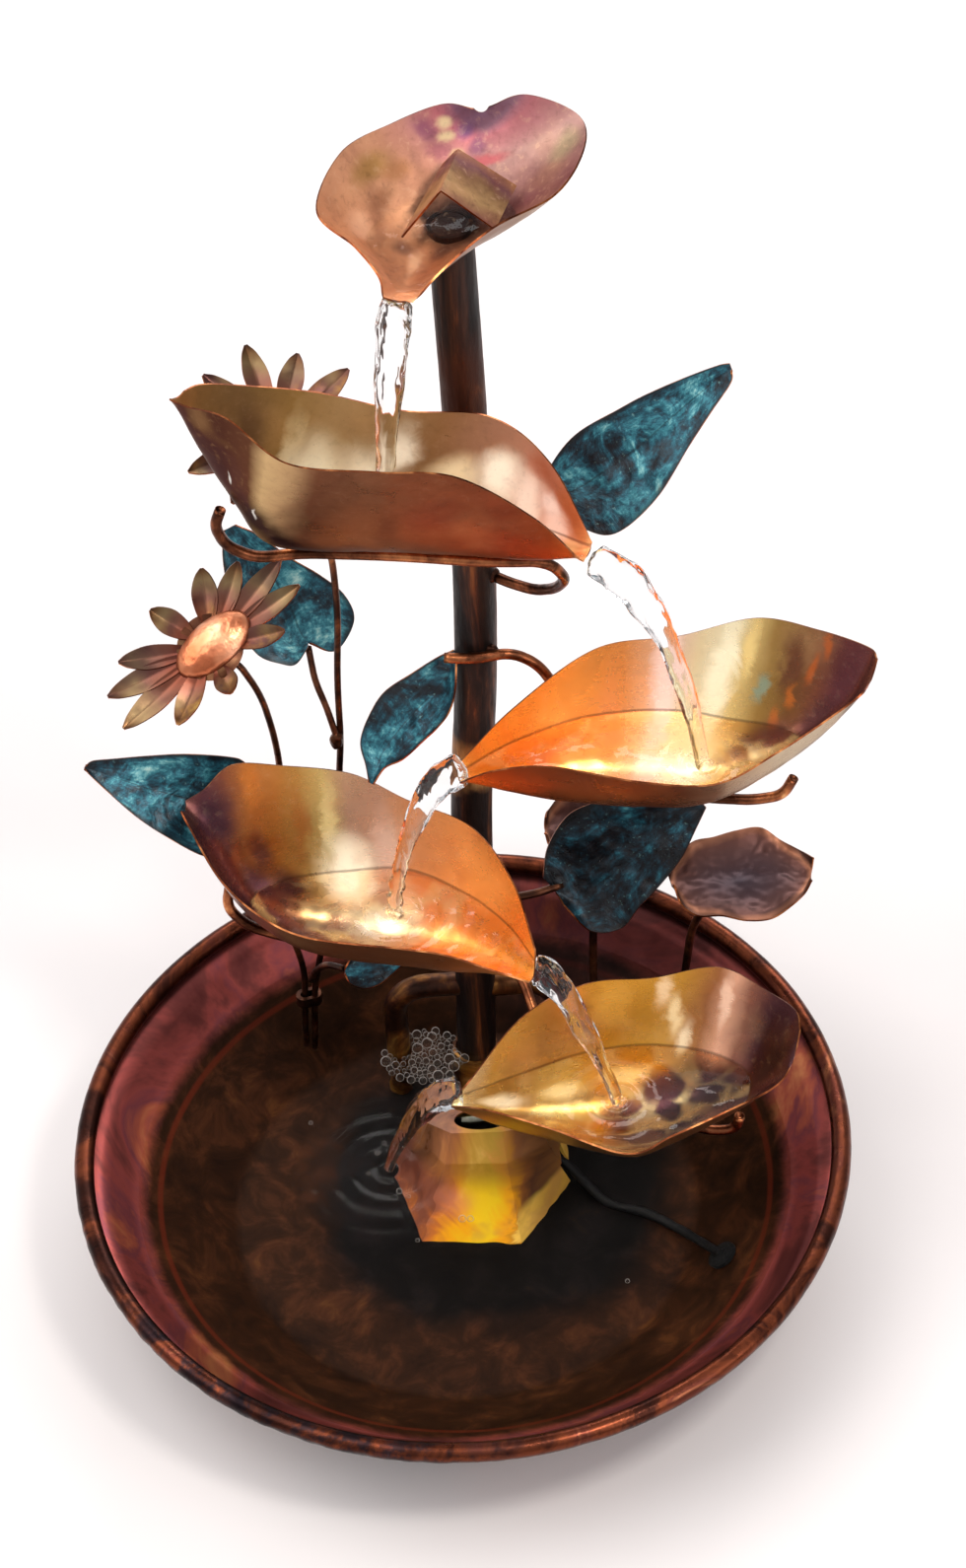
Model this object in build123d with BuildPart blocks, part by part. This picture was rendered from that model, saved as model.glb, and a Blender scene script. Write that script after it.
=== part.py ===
from build123d import *
import math
import os

# Copper tabletop water fountain. Millimetres, +Z up.
# Origin: centre of the basin's flat underside. +X right, -Y is the front.

# ---------------------------------------------------------------- dimensions
sheet = 0.7              # copper sheet of cups, leaves and petals
bowl_wall = 0.8          # spun basin wall
bowl_floor_r = 92.0      # flat floor radius, outside
rim_r = 148.5            # centre line of the rolled rim
rim_tube = 7.8           # diameter of the rolled rim
rim_z = 58.0             # height of the rim's centre line
riser_od = 15.9          # half inch copper water pipe
riser_id = 13.4
leg_od = 9.5             # 3/8 inch copper tube
leg_id = 7.6
rod_d = 4.1              # cup support rod
stem_d = 2.6             # leaf and flower stems
hook_d = 3.3             # heavier stems
hose_od, hose_id = 15.9, 12.7
cord_d = 4.0             # two-core flexible cord
plug_pin_d = 4.0

pump_y, pump_z = 20.0, 20.0      # axis of the rotor, which runs along X
volute_r = 13.0
shaft_r = 1.0
outlet_x, outlet_z = 8.1, 12.0   # axis of the pump outlet and of the elbow
riser_x, riser_y = 8.1, 67.0     # foot of the riser

# Sheet pieces: one row for each station along the piece. A row holds the near
# edge, the keel or midrib, and the far edge.
FLOWER_CUP = [
    ((33.0, 100.0, 480.5), (30.6, 100.0, 478.6), (28.0, 100.0, 480.1)),
    ((45.8, 100.0, 484.7), (28.5, 97.0, 471.5), (17.5, 100.0, 483.0)),
    ((62.5, 92.0, 481.1), (24.7, 89.0, 464.2), (0.2, 94.0, 481.1)),
    ((63.3, 78.0, 477.7), (17.0, 77.0, 457.5), (-17.2, 80.0, 481.3)),
    ((52.4, 60.0, 473.5), (13.0, 64.0, 452.5), (-26.6, 58.0, 474.8)),
    ((30.8, 44.0, 473.9), (7.5, 50.0, 453.0), (-14.6, 42.0, 471.2)),
    ((12.7, 32.0, 466.9), (2.0, 36.0, 457.0), (-7.5, 30.0, 467.8)),
    ((2.9, 24.0, 460.6), (-1.9, 22.5, 463.0), (-6.6, 22.0, 465.5)),
]

UPPER_CUP = [
    ((-81.0, 34.0, 418.3), (-78.2, 36.0, 416.7), (-76.1, 38.0, 417.5)),
    ((-74.7, 28.0, 419.4), (-71.9, 37.0, 392.8), (-69.8, 42.0, 416.5)),
    ((-61.3, 17.0, 422.4), (-61.9, 36.0, 367.4), (-54.5, 47.0, 410.1)),
    ((-42.8, 7.0, 409.9), (-49.7, 36.0, 348.2), (-30.8, 51.0, 401.4)),
    ((-13.4, 2.0, 407.7), (-15.9, 36.0, 342.3), (-2.9, 52.0, 390.1)),
    ((13.1, 4.0, 401.3), (11.9, 33.0, 340.6), (26.7, 48.0, 388.2)),
    ((38.8, 10.0, 375.2), (38.5, 26.0, 342.7), (45.7, 36.0, 376.7)),
    ((55.7, 15.0, 348.0), (57.7, 18.0, 349.7), (59.3, 21.0, 351.4)),
]

RIGHT_CUP = [
    ((156.5, 18.0, 274.0), (158.5, 21.0, 278.3), (160.2, 24.0, 282.6)),
    ((145.9, 12.0, 270.0), (149.0, 21.0, 262.0), (157.8, 31.0, 282.0)),
    ((122.6, 2.0, 261.2), (129.0, 21.0, 243.0), (141.3, 42.0, 281.4)),
    ((99.8, -6.0, 255.4), (101.0, 20.0, 230.0), (119.5, 50.0, 281.8)),
    ((72.3, -5.0, 258.1), (79.0, 21.0, 227.0), (91.8, 54.0, 271.6)),
    ((41.7, 1.0, 262.6), (50.0, 22.0, 228.5), (61.4, 53.0, 269.0)),
    ((22.1, 8.0, 255.8), (28.0, 20.0, 235.0), (30.7, 37.0, 258.3)),
    ((8.4, 13.0, 245.9), (9.6, 16.0, 245.3), (8.5, 19.0, 249.0)),
]

LEFT_CUP = [
    ((-96.1, 43.0, 209.6), (-94.4, 44.3, 208.4), (-94.5, 47.0, 210.6)),
    ((-93.1, 37.0, 206.5), (-88.0, 43.0, 200.0), (-87.3, 50.0, 212.6)),
    ((-83.4, 22.0, 194.0), (-76.0, 37.0, 175.0), (-76.0, 56.0, 218.6)),
    ((-70.2, 10.0, 186.1), (-60.0, 33.0, 158.0), (-57.5, 60.0, 212.2)),
    ((-52.0, 0.0, 182.1), (-40.0, 28.0, 152.0), (-32.0, 61.5, 203.8)),
    ((-18.3, -8.0, 181.5), (-18.0, 21.0, 151.0), (-11.5, 57.0, 192.0)),
    ((-1.0, -12.0, 180.3), (2.0, 12.0, 154.0), (11.6, 42.0, 190.7)),
    ((13.6, -14.0, 173.9), (18.0, 3.0, 159.0), (25.5, 18.0, 184.0)),
    ((29.0, -16.0, 166.8), (31.0, -11.0, 166.0), (31.7, -5.0, 171.9)),
]

LOWER_CUP = [
    ((127.1, -22.0, 116.4), (129.0, -18.0, 121.9), (130.5, -14.0, 126.3)),
    ((119.8, -28.0, 111.0), (119.0, -17.0, 108.0), (129.4, -6.0, 128.6)),
    ((101.2, -38.0, 111.0), (105.0, -16.0, 93.0), (119.4, 6.0, 127.4)),
    ((79.1, -46.0, 108.0), (86.0, -15.0, 83.0), (102.6, 16.0, 131.0)),
    ((61.7, -49.0, 103.0), (66.0, -14.0, 79.0), (77.0, 18.0, 125.1)),
    ((33.2, -38.0, 108.0), (42.0, -13.0, 80.5), (51.8, 16.0, 126.6)),
    ((10.6, -26.0, 106.5), (18.0, -13.0, 88.0), (26.3, 4.0, 123.5)),
    ((-2.4, -17.0, 99.4), (-2.2, -14.5, 98.2), (2.6, -11.5, 102.9)),
]

LEAF_UPPER_RIGHT = [
    ((46.2, 64.2, 331.1), (45.1, 66.0, 331.6), (43.7, 67.4, 334.1)),
    ((57.5, 56.4, 326.2), (55.5, 67.0, 334.5), (48.6, 72.9, 343.0)),
    ((69.2, 52.4, 326.0), (67.3, 69.5, 340.8), (57.9, 77.2, 352.3)),
    ((84.1, 56.5, 337.4), (80.2, 71.8, 349.7), (73.3, 79.0, 360.9)),
    ((96.5, 65.1, 353.3), (93.0, 75.0, 360.4), (82.6, 79.8, 365.8)),
    ((105.5, 71.0, 364.4), (102.2, 77.0, 367.9), (96.3, 80.2, 372.0)),
    ((112.5, 75.4, 372.8), (109.5, 78.3, 373.5), (108.5, 80.1, 376.9)),
    ((112.8, 78.0, 376.1), (113.2, 78.7, 376.3), (112.6, 79.5, 378.0)),
]

LEAF_UPPER_LEFT = [
    ((-72.0, 105.6, 292.0), (-69.9, 106.9, 292.1), (-68.0, 106.8, 292.9)),
    ((-73.5, 100.0, 284.7), (-63.9, 104.0, 285.9), (-59.9, 104.9, 289.0)),
    ((-72.4, 91.9, 273.8), (-58.0, 99.6, 278.0), (-48.9, 100.1, 280.9)),
    ((-68.7, 83.1, 261.6), (-53.4, 95.3, 270.2), (-38.1, 96.5, 274.2)),
    ((-63.2, 77.9, 253.6), (-49.6, 90.6, 263.2), (-29.6, 92.4, 267.3)),
    ((-55.4, 76.2, 250.1), (-47.6, 86.4, 257.9), (-26.8, 86.7, 259.3)),
    ((-49.6, 76.2, 249.1), (-45.7, 83.2, 255.3), (-34.2, 79.8, 251.3)),
    ((-44.7, 80.3, 253.7), (-44.3, 81.6, 254.6), (-43.1, 81.2, 254.8)),
]

LEAF_FOLDED = [
    ((-25.2, 46.9, 213.9), (-24.7, 46.9, 213.0), (-24.2, 46.1, 213.5)),
    ((-26.2, 51.2, 219.1), (-22.3, 51.1, 217.7), (-19.3, 48.4, 219.7)),
    ((-27.5, 56.7, 225.8), (-19.3, 55.2, 221.2), (-12.1, 48.1, 224.0)),
    ((-23.4, 61.4, 234.8), (-12.7, 59.1, 228.4), (-3.9, 49.8, 231.4)),
    ((-17.3, 64.5, 242.9), (-5.6, 61.5, 235.8), (1.5, 51.0, 236.5)),
    ((-7.0, 65.2, 250.5), (1.2, 62.7, 243.5), (5.9, 52.9, 241.9)),
    ((3.3, 65.7, 257.7), (6.2, 63.8, 250.8), (8.6, 56.8, 249.0)),
    ((9.3, 65.4, 261.0), (9.9, 65.4, 260.1), (9.9, 64.3, 260.0)),
]

LEAF_LEFT = [
    ((-70.0, 50.5, 174.1), (-68.5, 62.4, 182.7), (-67.9, 69.5, 196.5)),
    ((-78.3, 48.7, 174.7), (-77.8, 63.3, 185.5), (-72.6, 73.1, 202.4)),
    ((-90.3, 48.5, 178.3), (-88.0, 64.3, 189.8), (-78.0, 73.8, 204.9)),
    ((-102.7, 51.6, 186.1), (-99.3, 64.9, 195.2), (-93.7, 72.9, 208.9)),
    ((-113.9, 55.6, 194.4), (-110.0, 65.1, 200.3), (-108.5, 71.0, 211.3)),
    ((-123.8, 60.6, 203.7), (-120.4, 65.6, 206.0), (-121.3, 69.0, 213.0)),
    ((-130.2, 64.2, 210.2), (-127.4, 66.0, 209.9), (-129.0, 67.7, 214.0)),
    ((-131.8, 65.5, 212.3), (-132.3, 66.1, 212.3), (-131.4, 66.3, 213.0)),
]

LEAF_LOWER_RIGHT = [
    ((104.0, 94.8, 141.8), (103.6, 94.9, 140.3), (105.0, 93.1, 139.0)),
    ((99.0, 96.4, 143.5), (96.9, 93.6, 134.9), (100.7, 89.2, 131.6)),
    ((85.6, 98.5, 144.3), (87.7, 92.3, 127.6), (93.8, 83.4, 120.3)),
    ((72.0, 99.3, 143.1), (78.0, 90.2, 120.0), (84.7, 78.8, 110.6)),
    ((60.2, 98.8, 139.8), (70.0, 87.8, 113.2), (76.5, 75.3, 103.1)),
    ((50.2, 97.2, 135.1), (61.9, 85.8, 107.1), (69.0, 71.7, 95.5)),
    ((42.1, 91.9, 124.4), (52.4, 82.7, 102.3), (57.2, 72.4, 94.3)),
    ((39.3, 85.6, 113.1), (43.9, 83.6, 107.0), (47.3, 78.9, 103.3)),
]

LEAF_SMALL = [
    ((-41.1, 54.1, 99.1), (-41.5, 55.4, 99.4), (-41.0, 55.7, 100.7)),
    ((-39.5, 51.5, 96.5), (-38.3, 56.3, 98.9), (-38.4, 58.4, 103.4)),
    ((-34.2, 49.9, 94.9), (-33.7, 56.5, 98.1), (-34.2, 60.9, 105.9)),
    ((-28.6, 50.7, 95.7), (-29.0, 56.7, 98.5), (-29.9, 61.3, 106.3)),
    ((-23.3, 53.2, 98.2), (-24.6, 57.2, 99.8), (-25.3, 60.8, 105.8)),
    ((-18.8, 55.7, 100.7), (-20.2, 57.7, 101.1), (-20.0, 59.4, 104.4)),
    ((-15.9, 57.3, 102.3), (-15.5, 58.2, 102.4), (-15.4, 58.3, 103.3)),
]

LILY_PAD_RIGHT = [
    ((91.1, 77.1, 113.0), (90.0, 81.1, 109.5), (89.6, 85.2, 111.5)),
    ((93.3, 69.9, 109.4), (93.5, 81.1, 108.8), (92.6, 92.6, 112.4)),
    ((99.1, 63.6, 109.0), (99.8, 81.1, 108.4), (100.2, 97.5, 115.5)),
    ((108.4, 60.8, 111.1), (108.3, 81.1, 108.1), (108.5, 101.0, 113.5)),
    ((117.9, 59.9, 108.3), (117.9, 81.1, 108.0), (117.9, 103.6, 113.6)),
    ((127.8, 59.9, 108.5), (127.5, 81.1, 108.1), (127.7, 102.0, 116.1)),
    ((136.4, 63.8, 111.4), (136.0, 81.1, 108.4), (135.3, 97.2, 113.1)),
    ((141.5, 70.3, 109.7), (142.3, 81.1, 108.8), (142.2, 92.1, 112.1)),
    ((145.4, 77.0, 110.5), (145.8, 81.1, 109.5), (146.9, 85.3, 114.0)),
]

LILY_PAD_REAR = [
    ((42.0, 107.0, 116.5), (41.8, 109.8, 114.9), (42.6, 112.7, 119.2)),
    ((43.7, 101.5, 113.7), (44.3, 109.8, 114.1), (43.9, 118.1, 117.9)),
    ((48.9, 97.7, 115.4), (48.8, 109.8, 113.6), (48.5, 122.4, 120.6)),
    ((55.2, 95.6, 113.6), (54.9, 109.8, 113.4), (55.1, 124.3, 122.2)),
    ((61.7, 93.7, 111.7), (61.7, 109.8, 113.3), (61.7, 125.4, 119.9)),
    ((68.8, 94.4, 114.5), (68.6, 109.8, 113.4), (68.8, 125.3, 121.3)),
    ((74.3, 98.0, 114.4), (74.7, 109.8, 113.6), (74.7, 122.1, 121.6)),
    ((78.7, 102.0, 113.7), (79.2, 109.8, 114.2), (78.5, 117.6, 117.8)),
    ((82.3, 106.8, 117.6), (81.6, 109.8, 114.9), (81.7, 112.9, 118.1)),
]

RISER = [(8.1, 67, 22), (9.4, 67, 60), (12.6, 67, 186), (16.9, 67, 240), (18.9, 67, 300), (18.4, 67, 383), (17.0, 67, 456.5)]

# Free cord: the stretch in the basin, the stretch under the basin, the plug lead
CORD_IN = [(38.2, 17.5, 12.0), (43.0, 14.6, 8.5), (48.5, 7.5, 4.6), (56.5, -3.6, 3.2), (70.5, -8.0, 3.1), (82.0, -16.4, 3.1), (92.0, -28.0, 8.0), (98.1, -40.0, 18.9)]
CORD_OUT = [(105.5, -45.1, 11.5), (109.3, -46.7, 7.8), (115.6, -45.2, 4.2), (122.6, -38.0, 2.5), (126.5, -24.0, 2.3), (127.6, 2.0, 2.2), (124.0, 38.0, 2.3), (112.0, 80.0, 2.3), (90.0, 114.0, 2.2), (64.0, 131.5, 2.3), (38.0, 136.5, 2.4), (20.0, 135.9, 2.4), (9.0, 135.5, 2.4)]
PLUG_LEAD = [(-16.5, 135.8, 6.6), (-29.5, 141.2, 4.2), (-44.0, 147.0, 2.3), (-59.0, 146.5, 2.3), (-69.0, 136.0, 4.4), (-73.0, 121.0, 7.0)]
COIL_C = (-5.0, 162.0)

os.makedirs("parts", exist_ok=True)


# ---------------------------------------------------------------- helpers
def section(near, keel, far, thick, bow=2.0, count=9):
    """Plane and outline of one cross-section of a bent sheet."""
    a, m, b = Vector(*near), Vector(*keel), Vector(*far)
    w = b - a
    h = (a + b) * 0.5 - m
    ex = w.normalized()
    ez = ex.cross(h).normalized()
    ey = ez.cross(ex)
    inner, outer = [], []
    for j in range(count):
        v = -1 + 2 * j / (count - 1)
        q = w * (v / 2) + h * (abs(v) ** bow)
        inner.append((q.dot(ex), q.dot(ey)))
    for j in range(count):
        p, n = inner[max(j - 1, 0)], inner[min(j + 1, count - 1)]
        dx, dy = n[0] - p[0], n[1] - p[1]
        run = math.hypot(dx, dy)
        outer.append((inner[j][0] + dy / run * thick, inner[j][1] - dx / run * thick))
    return Plane(origin=m, x_dir=ex, z_dir=ez), inner, outer


def arc_radii(points, cap=None):
    """Largest tangent arc that each corner of a route has room for."""
    out = []
    for i in range(1, len(points) - 1):
        a, b, c = (Vector(*points[k]) for k in (i - 1, i, i + 1))
        turn = math.radians((b - a).get_angle(c - b))
        r = 0.45 * min((b - a).length, (c - b).length) / math.tan(turn / 2)
        out.append(min(r, cap) if cap else r)
    return out


def sheet_sections(table, bow=2.0, thick=None, count=9):
    """Closed cross-sections of a bent sheet, ready to loft."""
    faces = []
    for near, keel, far in table:
        plane, inner, outer = section(near, keel, far, thick or sheet, bow, count)
        with BuildSketch(plane, mode=Mode.PRIVATE) as strip:
            with BuildLine():
                Spline(*inner)
                Line(inner[-1], outer[-1])
                Spline(*outer[::-1])
                Line(outer[0], inner[0])
            make_face()
        faces.append(strip.sketch.face())
    return faces


def rod_path(points, cap=None):
    """Straight runs joined by tangent arcs."""
    with BuildLine(mode=Mode.PRIVATE) as route:
        FilletPolyline(*points, radius=arc_radii(points, cap))
    return route.wires()[0]


def round_end(path, d):
    """Round section square to the start of a path."""
    with BuildSketch(Plane(origin=path @ 0, z_dir=path % 0), mode=Mode.PRIVATE) as end:
        Circle(d / 2)
    return end.sketch.face()


def save(context, name):
    context.part.label = name
    export_step(context.part, "parts/%s.step" % name)


# ---------------------------------------------------------------- basin
with BuildPart() as rim_ring:
    with BuildSketch(Plane.XZ):
        with Locations((rim_r, rim_z)):
            Circle(rim_tube / 2)
    revolve(axis=Axis.Z)
save(rim_ring, "rim_ring")

wall_top = 55.6
with BuildPart() as basin:
    with BuildSketch(Plane.XZ) as bowl_profile:
        with BuildLine():
            t45 = bowl_wall * math.sqrt(2)
            FilletPolyline((0, 0), (bowl_floor_r, 0), (bowl_floor_r + wall_top, wall_top), radius=9.0)
            Line((bowl_floor_r + wall_top, wall_top), (bowl_floor_r + wall_top - t45 / 2, wall_top + t45 / 2))
            FilletPolyline((bowl_floor_r + wall_top - t45 / 2, wall_top + t45 / 2), (bowl_floor_r + bowl_wall - t45, bowl_wall), (0, bowl_wall), radius=8.2)
            Line((0, bowl_wall), (0, 0))
        make_face()
    revolve(axis=Axis.Z)
    # the wall ends against the rolled rim
    with BuildSketch(Plane.XZ):
        with Locations((rim_r, rim_z)):
            Circle(rim_tube / 2)
    revolve(axis=Axis.Z, mode=Mode.SUBTRACT)
    # hole for the cord gland, square to the wall
    with BuildSketch(Plane(origin=(98.1, -40.0, 18.9), z_dir=(0.6548, -0.2670, -0.7071))):
        Circle(4.6)
    extrude(amount=12, both=True, mode=Mode.SUBTRACT)
save(basin, "basin")

# ---------------------------------------------------------------- column
with BuildPart() as riser_pipe:
    with BuildLine() as riser_route:
        FilletPolyline(*RISER, radius=arc_radii(RISER))
    with BuildSketch(Plane(origin=riser_route.line @ 0, z_dir=riser_route.line % 0)):
        Circle(riser_od / 2)
        Circle(riser_id / 2, mode=Mode.SUBTRACT)
    sweep(path=riser_route.line)
save(riser_pipe, "riser_pipe")

with BuildPart() as riser_solid:
    with BuildLine() as riser_route2:
        FilletPolyline(*RISER, radius=arc_radii(RISER))
    with BuildSketch(Plane(origin=riser_route2.line @ 0, z_dir=riser_route2.line % 0)):
        Circle(riser_od / 2)
    sweep(path=riser_route2.line)

for side, x_top, x_leg, z_top in (("stand_leg_left", 8, -23.0, 74.5), ("stand_leg_right", 12, 42.0, 72.5)):
    with BuildPart() as leg:
        with BuildLine() as leg_route:
            FilletPolyline((x_top, riser_y, z_top), (x_leg, riser_y, z_top), (x_leg, riser_y, bowl_wall), radius=[28.5])
        with BuildSketch(Plane(origin=leg_route.line @ 0, z_dir=leg_route.line % 0)):
            Circle(leg_od / 2)
            Circle(leg_id / 2, mode=Mode.SUBTRACT)
        sweep(path=leg_route.line)
        # coped end against the riser
        add(riser_solid.part, mode=Mode.SUBTRACT)
        with BuildSketch(Plane.XY.offset(60)):
            with Locations((x_top + (2 if x_leg < 0 else -2), riser_y)):
                Rectangle(13.5, 14)
        extrude(amount=30, mode=Mode.SUBTRACT)
    save(leg, side)

with BuildPart() as riser_elbow:
    with BuildLine() as bend:
        FilletPolyline((riser_x, riser_y, 34), (riser_x, riser_y, outlet_z), (riser_x, 52, outlet_z), radius=[12.0])
    with BuildSketch(Plane(origin=bend.line @ 0, z_dir=bend.line % 0)):
        Circle(9.2)
        Circle(riser_od / 2 + 0.05, mode=Mode.SUBTRACT)
    sweep(path=bend.line)
save(riser_elbow, "riser_elbow")

with BuildPart() as hose_barb:
    with BuildSketch(Plane.XZ.offset(-41)):
        with Locations((outlet_x, outlet_z)):
            Circle(6.33)
    extrude(amount=-9.2)
    with BuildSketch(Plane.XZ.offset(-50.2)):
        with Locations((outlet_x, outlet_z)):
            RegularPolygon(8.6, 6)
    extrude(amount=-1.7)
    with BuildSketch(Plane.XZ.offset(-51.9)):
        with Locations((outlet_x, outlet_z)):
            Circle(riser_od / 2)
    extrude(amount=-4)
    with BuildSketch(Plane.XZ.offset(-40)):
        with Locations((outlet_x, outlet_z)):
            Circle(4.6)
    extrude(amount=-20, mode=Mode.SUBTRACT)
save(hose_barb, "hose_barb")

with BuildPart() as vinyl_hose:
    with BuildSketch(Plane.XZ.offset(-33.4)):
        with Locations((outlet_x, outlet_z)):
            Circle(hose_od / 2)
            Circle(hose_id / 2, mode=Mode.SUBTRACT)
    extrude(amount=-16.7)
save(vinyl_hose, "vinyl_hose")

# ---------------------------------------------------------------- pump
with BuildPart() as pump_body:
    with BuildSketch(Plane.YZ.offset(-2)):
        with Locations((pump_y, pump_z)):
            Circle(volute_r)
    extrude(amount=16)
    with BuildSketch(Plane.YZ.offset(13)):
        with Locations((pump_y, pump_z)):
            RectangleRounded(21, 22, 4.5)
    extrude(amount=19)
    with BuildSketch(Plane.XZ.offset(-pump_y)):
        with Locations((outlet_x, outlet_z)):
            Circle(6.33)
    extrude(amount=-20)
    # impeller chamber, rotor well, outlet bore
    with BuildSketch(Plane.YZ.offset(-2)):
        with Locations((pump_y, pump_z)):
            Circle(11.5)
    extrude(amount=15, mode=Mode.SUBTRACT)
    with BuildSketch(Plane.YZ.offset(13)):
        with Locations((pump_y, pump_z)):
            Circle(6.3)
    extrude(amount=16, mode=Mode.SUBTRACT)
    with BuildSketch(Plane.YZ.offset(29)):
        with Locations((pump_y, pump_z)):
            Circle(shaft_r)
    extrude(amount=2, mode=Mode.SUBTRACT)
    with BuildSketch(Plane.XZ.offset(-pump_y)):
        with Locations((outlet_x, outlet_z)):
            Circle(4.2)
    extrude(amount=-22, mode=Mode.SUBTRACT)
save(pump_body, "pump_body")

with BuildPart() as pump_cover_plate:
    with BuildSketch(Plane.YZ.offset(-2)):
        with Locations((pump_y, pump_z)):
            Circle(11.47)
            Circle(5.0, mode=Mode.SUBTRACT)
            Circle(2.4)
            Rectangle(10.6, 1.6)
            Rectangle(1.6, 10.6)
    extrude(amount=1.5)
    with BuildSketch(Plane.YZ.offset(-1.4)):
        with Locations((pump_y, pump_z)):
            Circle(shaft_r)
    extrude(amount=2, mode=Mode.SUBTRACT)
save(pump_cover_plate, "pump_cover_plate")

with BuildPart() as pump_shaft:
    with BuildSketch(Plane.YZ.offset(-1.4)):
        with Locations((pump_y, pump_z)):
            Circle(shaft_r)
    extrude(amount=32.2)
save(pump_shaft, "pump_shaft")

with BuildPart() as pump_rotor:
    with BuildSketch(Plane.YZ.offset(0.2)):
        with Locations((pump_y, pump_z)):
            Circle(4.2)
    extrude(amount=14)
    with BuildSketch(Plane.YZ.offset(11.2)):
        with Locations((pump_y, pump_z)):
            Circle(10.4)
    extrude(amount=1.2)
    with BuildSketch(Plane.YZ.offset(1.0)):
        with Locations((pump_y, pump_z)):
            with PolarLocations(6.6, 6):
                Rectangle(7.0, 1.2)
    extrude(amount=10.5)
    with BuildSketch(Plane.YZ.offset(14.2)):
        with Locations((pump_y, pump_z)):
            Circle(5.8)
    extrude(amount=14)
    with BuildSketch(Plane.YZ.offset(0)):
        with Locations((pump_y, pump_z)):
            Circle(shaft_r + 0.04)
    extrude(amount=29, mode=Mode.SUBTRACT)
save(pump_rotor, "pump_rotor")

with BuildPart() as pump_strainer:
    with BuildSketch(Plane.YZ.offset(-8)):
        with Locations((pump_y, pump_z)):
            Circle(14.6)
    extrude(amount=8)
    with BuildSketch(Plane.YZ.offset(-6.8)):
        with Locations((pump_y, pump_z)):
            Circle(volute_r + 0.05)
    extrude(amount=8, mode=Mode.SUBTRACT)
    # intake slots above and below the dial, and its pivot hole
    with BuildSketch(Plane.YZ.offset(-8.2)):
        with Locations((pump_y, pump_z)):
            with PolarLocations(6.0, 2, start_angle=0):
                SlotOverall(7.0, 3.0, rotation=90)
            Circle(1.53)
            with Locations((0, 11.4), (0, -11.4)):
                SlotOverall(10.0, 1.8)
    extrude(amount=2, mode=Mode.SUBTRACT)
save(pump_strainer, "pump_strainer")

with BuildPart() as flow_gate:
    with BuildSketch(Plane.YZ.offset(-9.6)):
        with Locations((pump_y, pump_z)):
            Circle(9.4)
            with PolarLocations(6.0, 2, start_angle=0):
                SlotOverall(7.0, 3.0, rotation=90, mode=Mode.SUBTRACT)
    extrude(amount=1.55)
    with BuildSketch(Plane.YZ.offset(-11.6)):
        with Locations((pump_y, pump_z)):
            SlotOverall(14.0, 2.4, rotation=90)
    extrude(amount=2.1)
    with BuildSketch(Plane.YZ.offset(-9.6)):
        with Locations((pump_y, pump_z)):
            Circle(1.5)
    extrude(amount=3.6)
save(flow_gate, "flow_gate")

with BuildPart() as pump_feet:
    with BuildSketch(Plane.XZ) as foot_profile:
        with BuildLine():
            Polyline((0, 1.4), (2.4, 1.4), (4.6, 0.05), (5.0, 0.05), (4.6, 1.4), (2.0, 3.6), (2.0, 8.2), (0, 8.2), (0, 1.4))
        make_face()
    revolve(axis=Axis.Z)
    foot_shape = pump_feet.part
with BuildPart() as feet_group:
    with Locations((17.5, 14.2, bowl_wall), (28, 14.2, bowl_wall), (17.5, 26.5, bowl_wall), (28, 26.5, bowl_wall)):
        add(foot_shape)
save(feet_group, "pump_feet")

with BuildPart() as cord_gland:
    with BuildSketch(Plane.YZ.offset(32)):
        with Locations((17.5, 13.5)):
            Circle(4.0)
    with BuildSketch(Plane(origin=(38.2, 17.5, 12.0), z_dir=Vector(*CORD_IN[1]) - Vector(*CORD_IN[0]))):
        Circle(2.6)
    loft()
save(cord_gland, "cord_gland")

# ---------------------------------------------------------------- pump guard
GUARD_FOOT = [(-28, 20), (-18, -14), (21, -19), (43.5, 12), (42, 40), (-26, 40)]
GUARD_TOP = [(-13, 16), (-4, 10), (16, 9), (31, 11), (31, 32), (-11, 32)]


def shrink(pts, d):
    cx = sum(p[0] for p in pts) / len(pts)
    cy = sum(p[1] for p in pts) / len(pts)
    out = []
    for p in pts:
        r = math.hypot(p[0] - cx, p[1] - cy)
        out.append((p[0] - (p[0] - cx) / r * d, p[1] - (p[1] - cy) / r * d))
    return out


with BuildPart() as pump_guard:
    with BuildSketch(Plane.XY.offset(1.0)):
        Polygon(*GUARD_FOOT, align=None)
    with BuildSketch(Plane.XY.offset(50.0)):
        Polygon(*GUARD_TOP, align=None)
    loft(ruled=True)
    with BuildSketch(Plane.XY.offset(0.9)):
        Polygon(*shrink(GUARD_FOOT, 1.2), align=None)
    with BuildSketch(Plane.XY.offset(49.1)):
        Polygon(*shrink(GUARD_TOP, 1.1), align=None)
    loft(ruled=True, mode=Mode.SUBTRACT)
    # hose opening at the back, cord notch at the right, water hole on top
    with BuildSketch(Plane.XZ.offset(-30)):
        with Locations((outlet_x, 11)):
            Rectangle(22, 24)
    extrude(amount=-20, mode=Mode.SUBTRACT)
    with BuildSketch(Plane.YZ.offset(34)):
        with Locations((16.5, 8)):
            Rectangle(11, 18)
    extrude(amount=14, mode=Mode.SUBTRACT)
    with BuildSketch(Plane.XY.offset(40)):
        with Locations((8.9, 16.5)):
            Ellipse(11.5, 5.6)
    extrude(amount=14, mode=Mode.SUBTRACT)
save(pump_guard, "pump_guard")

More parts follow.
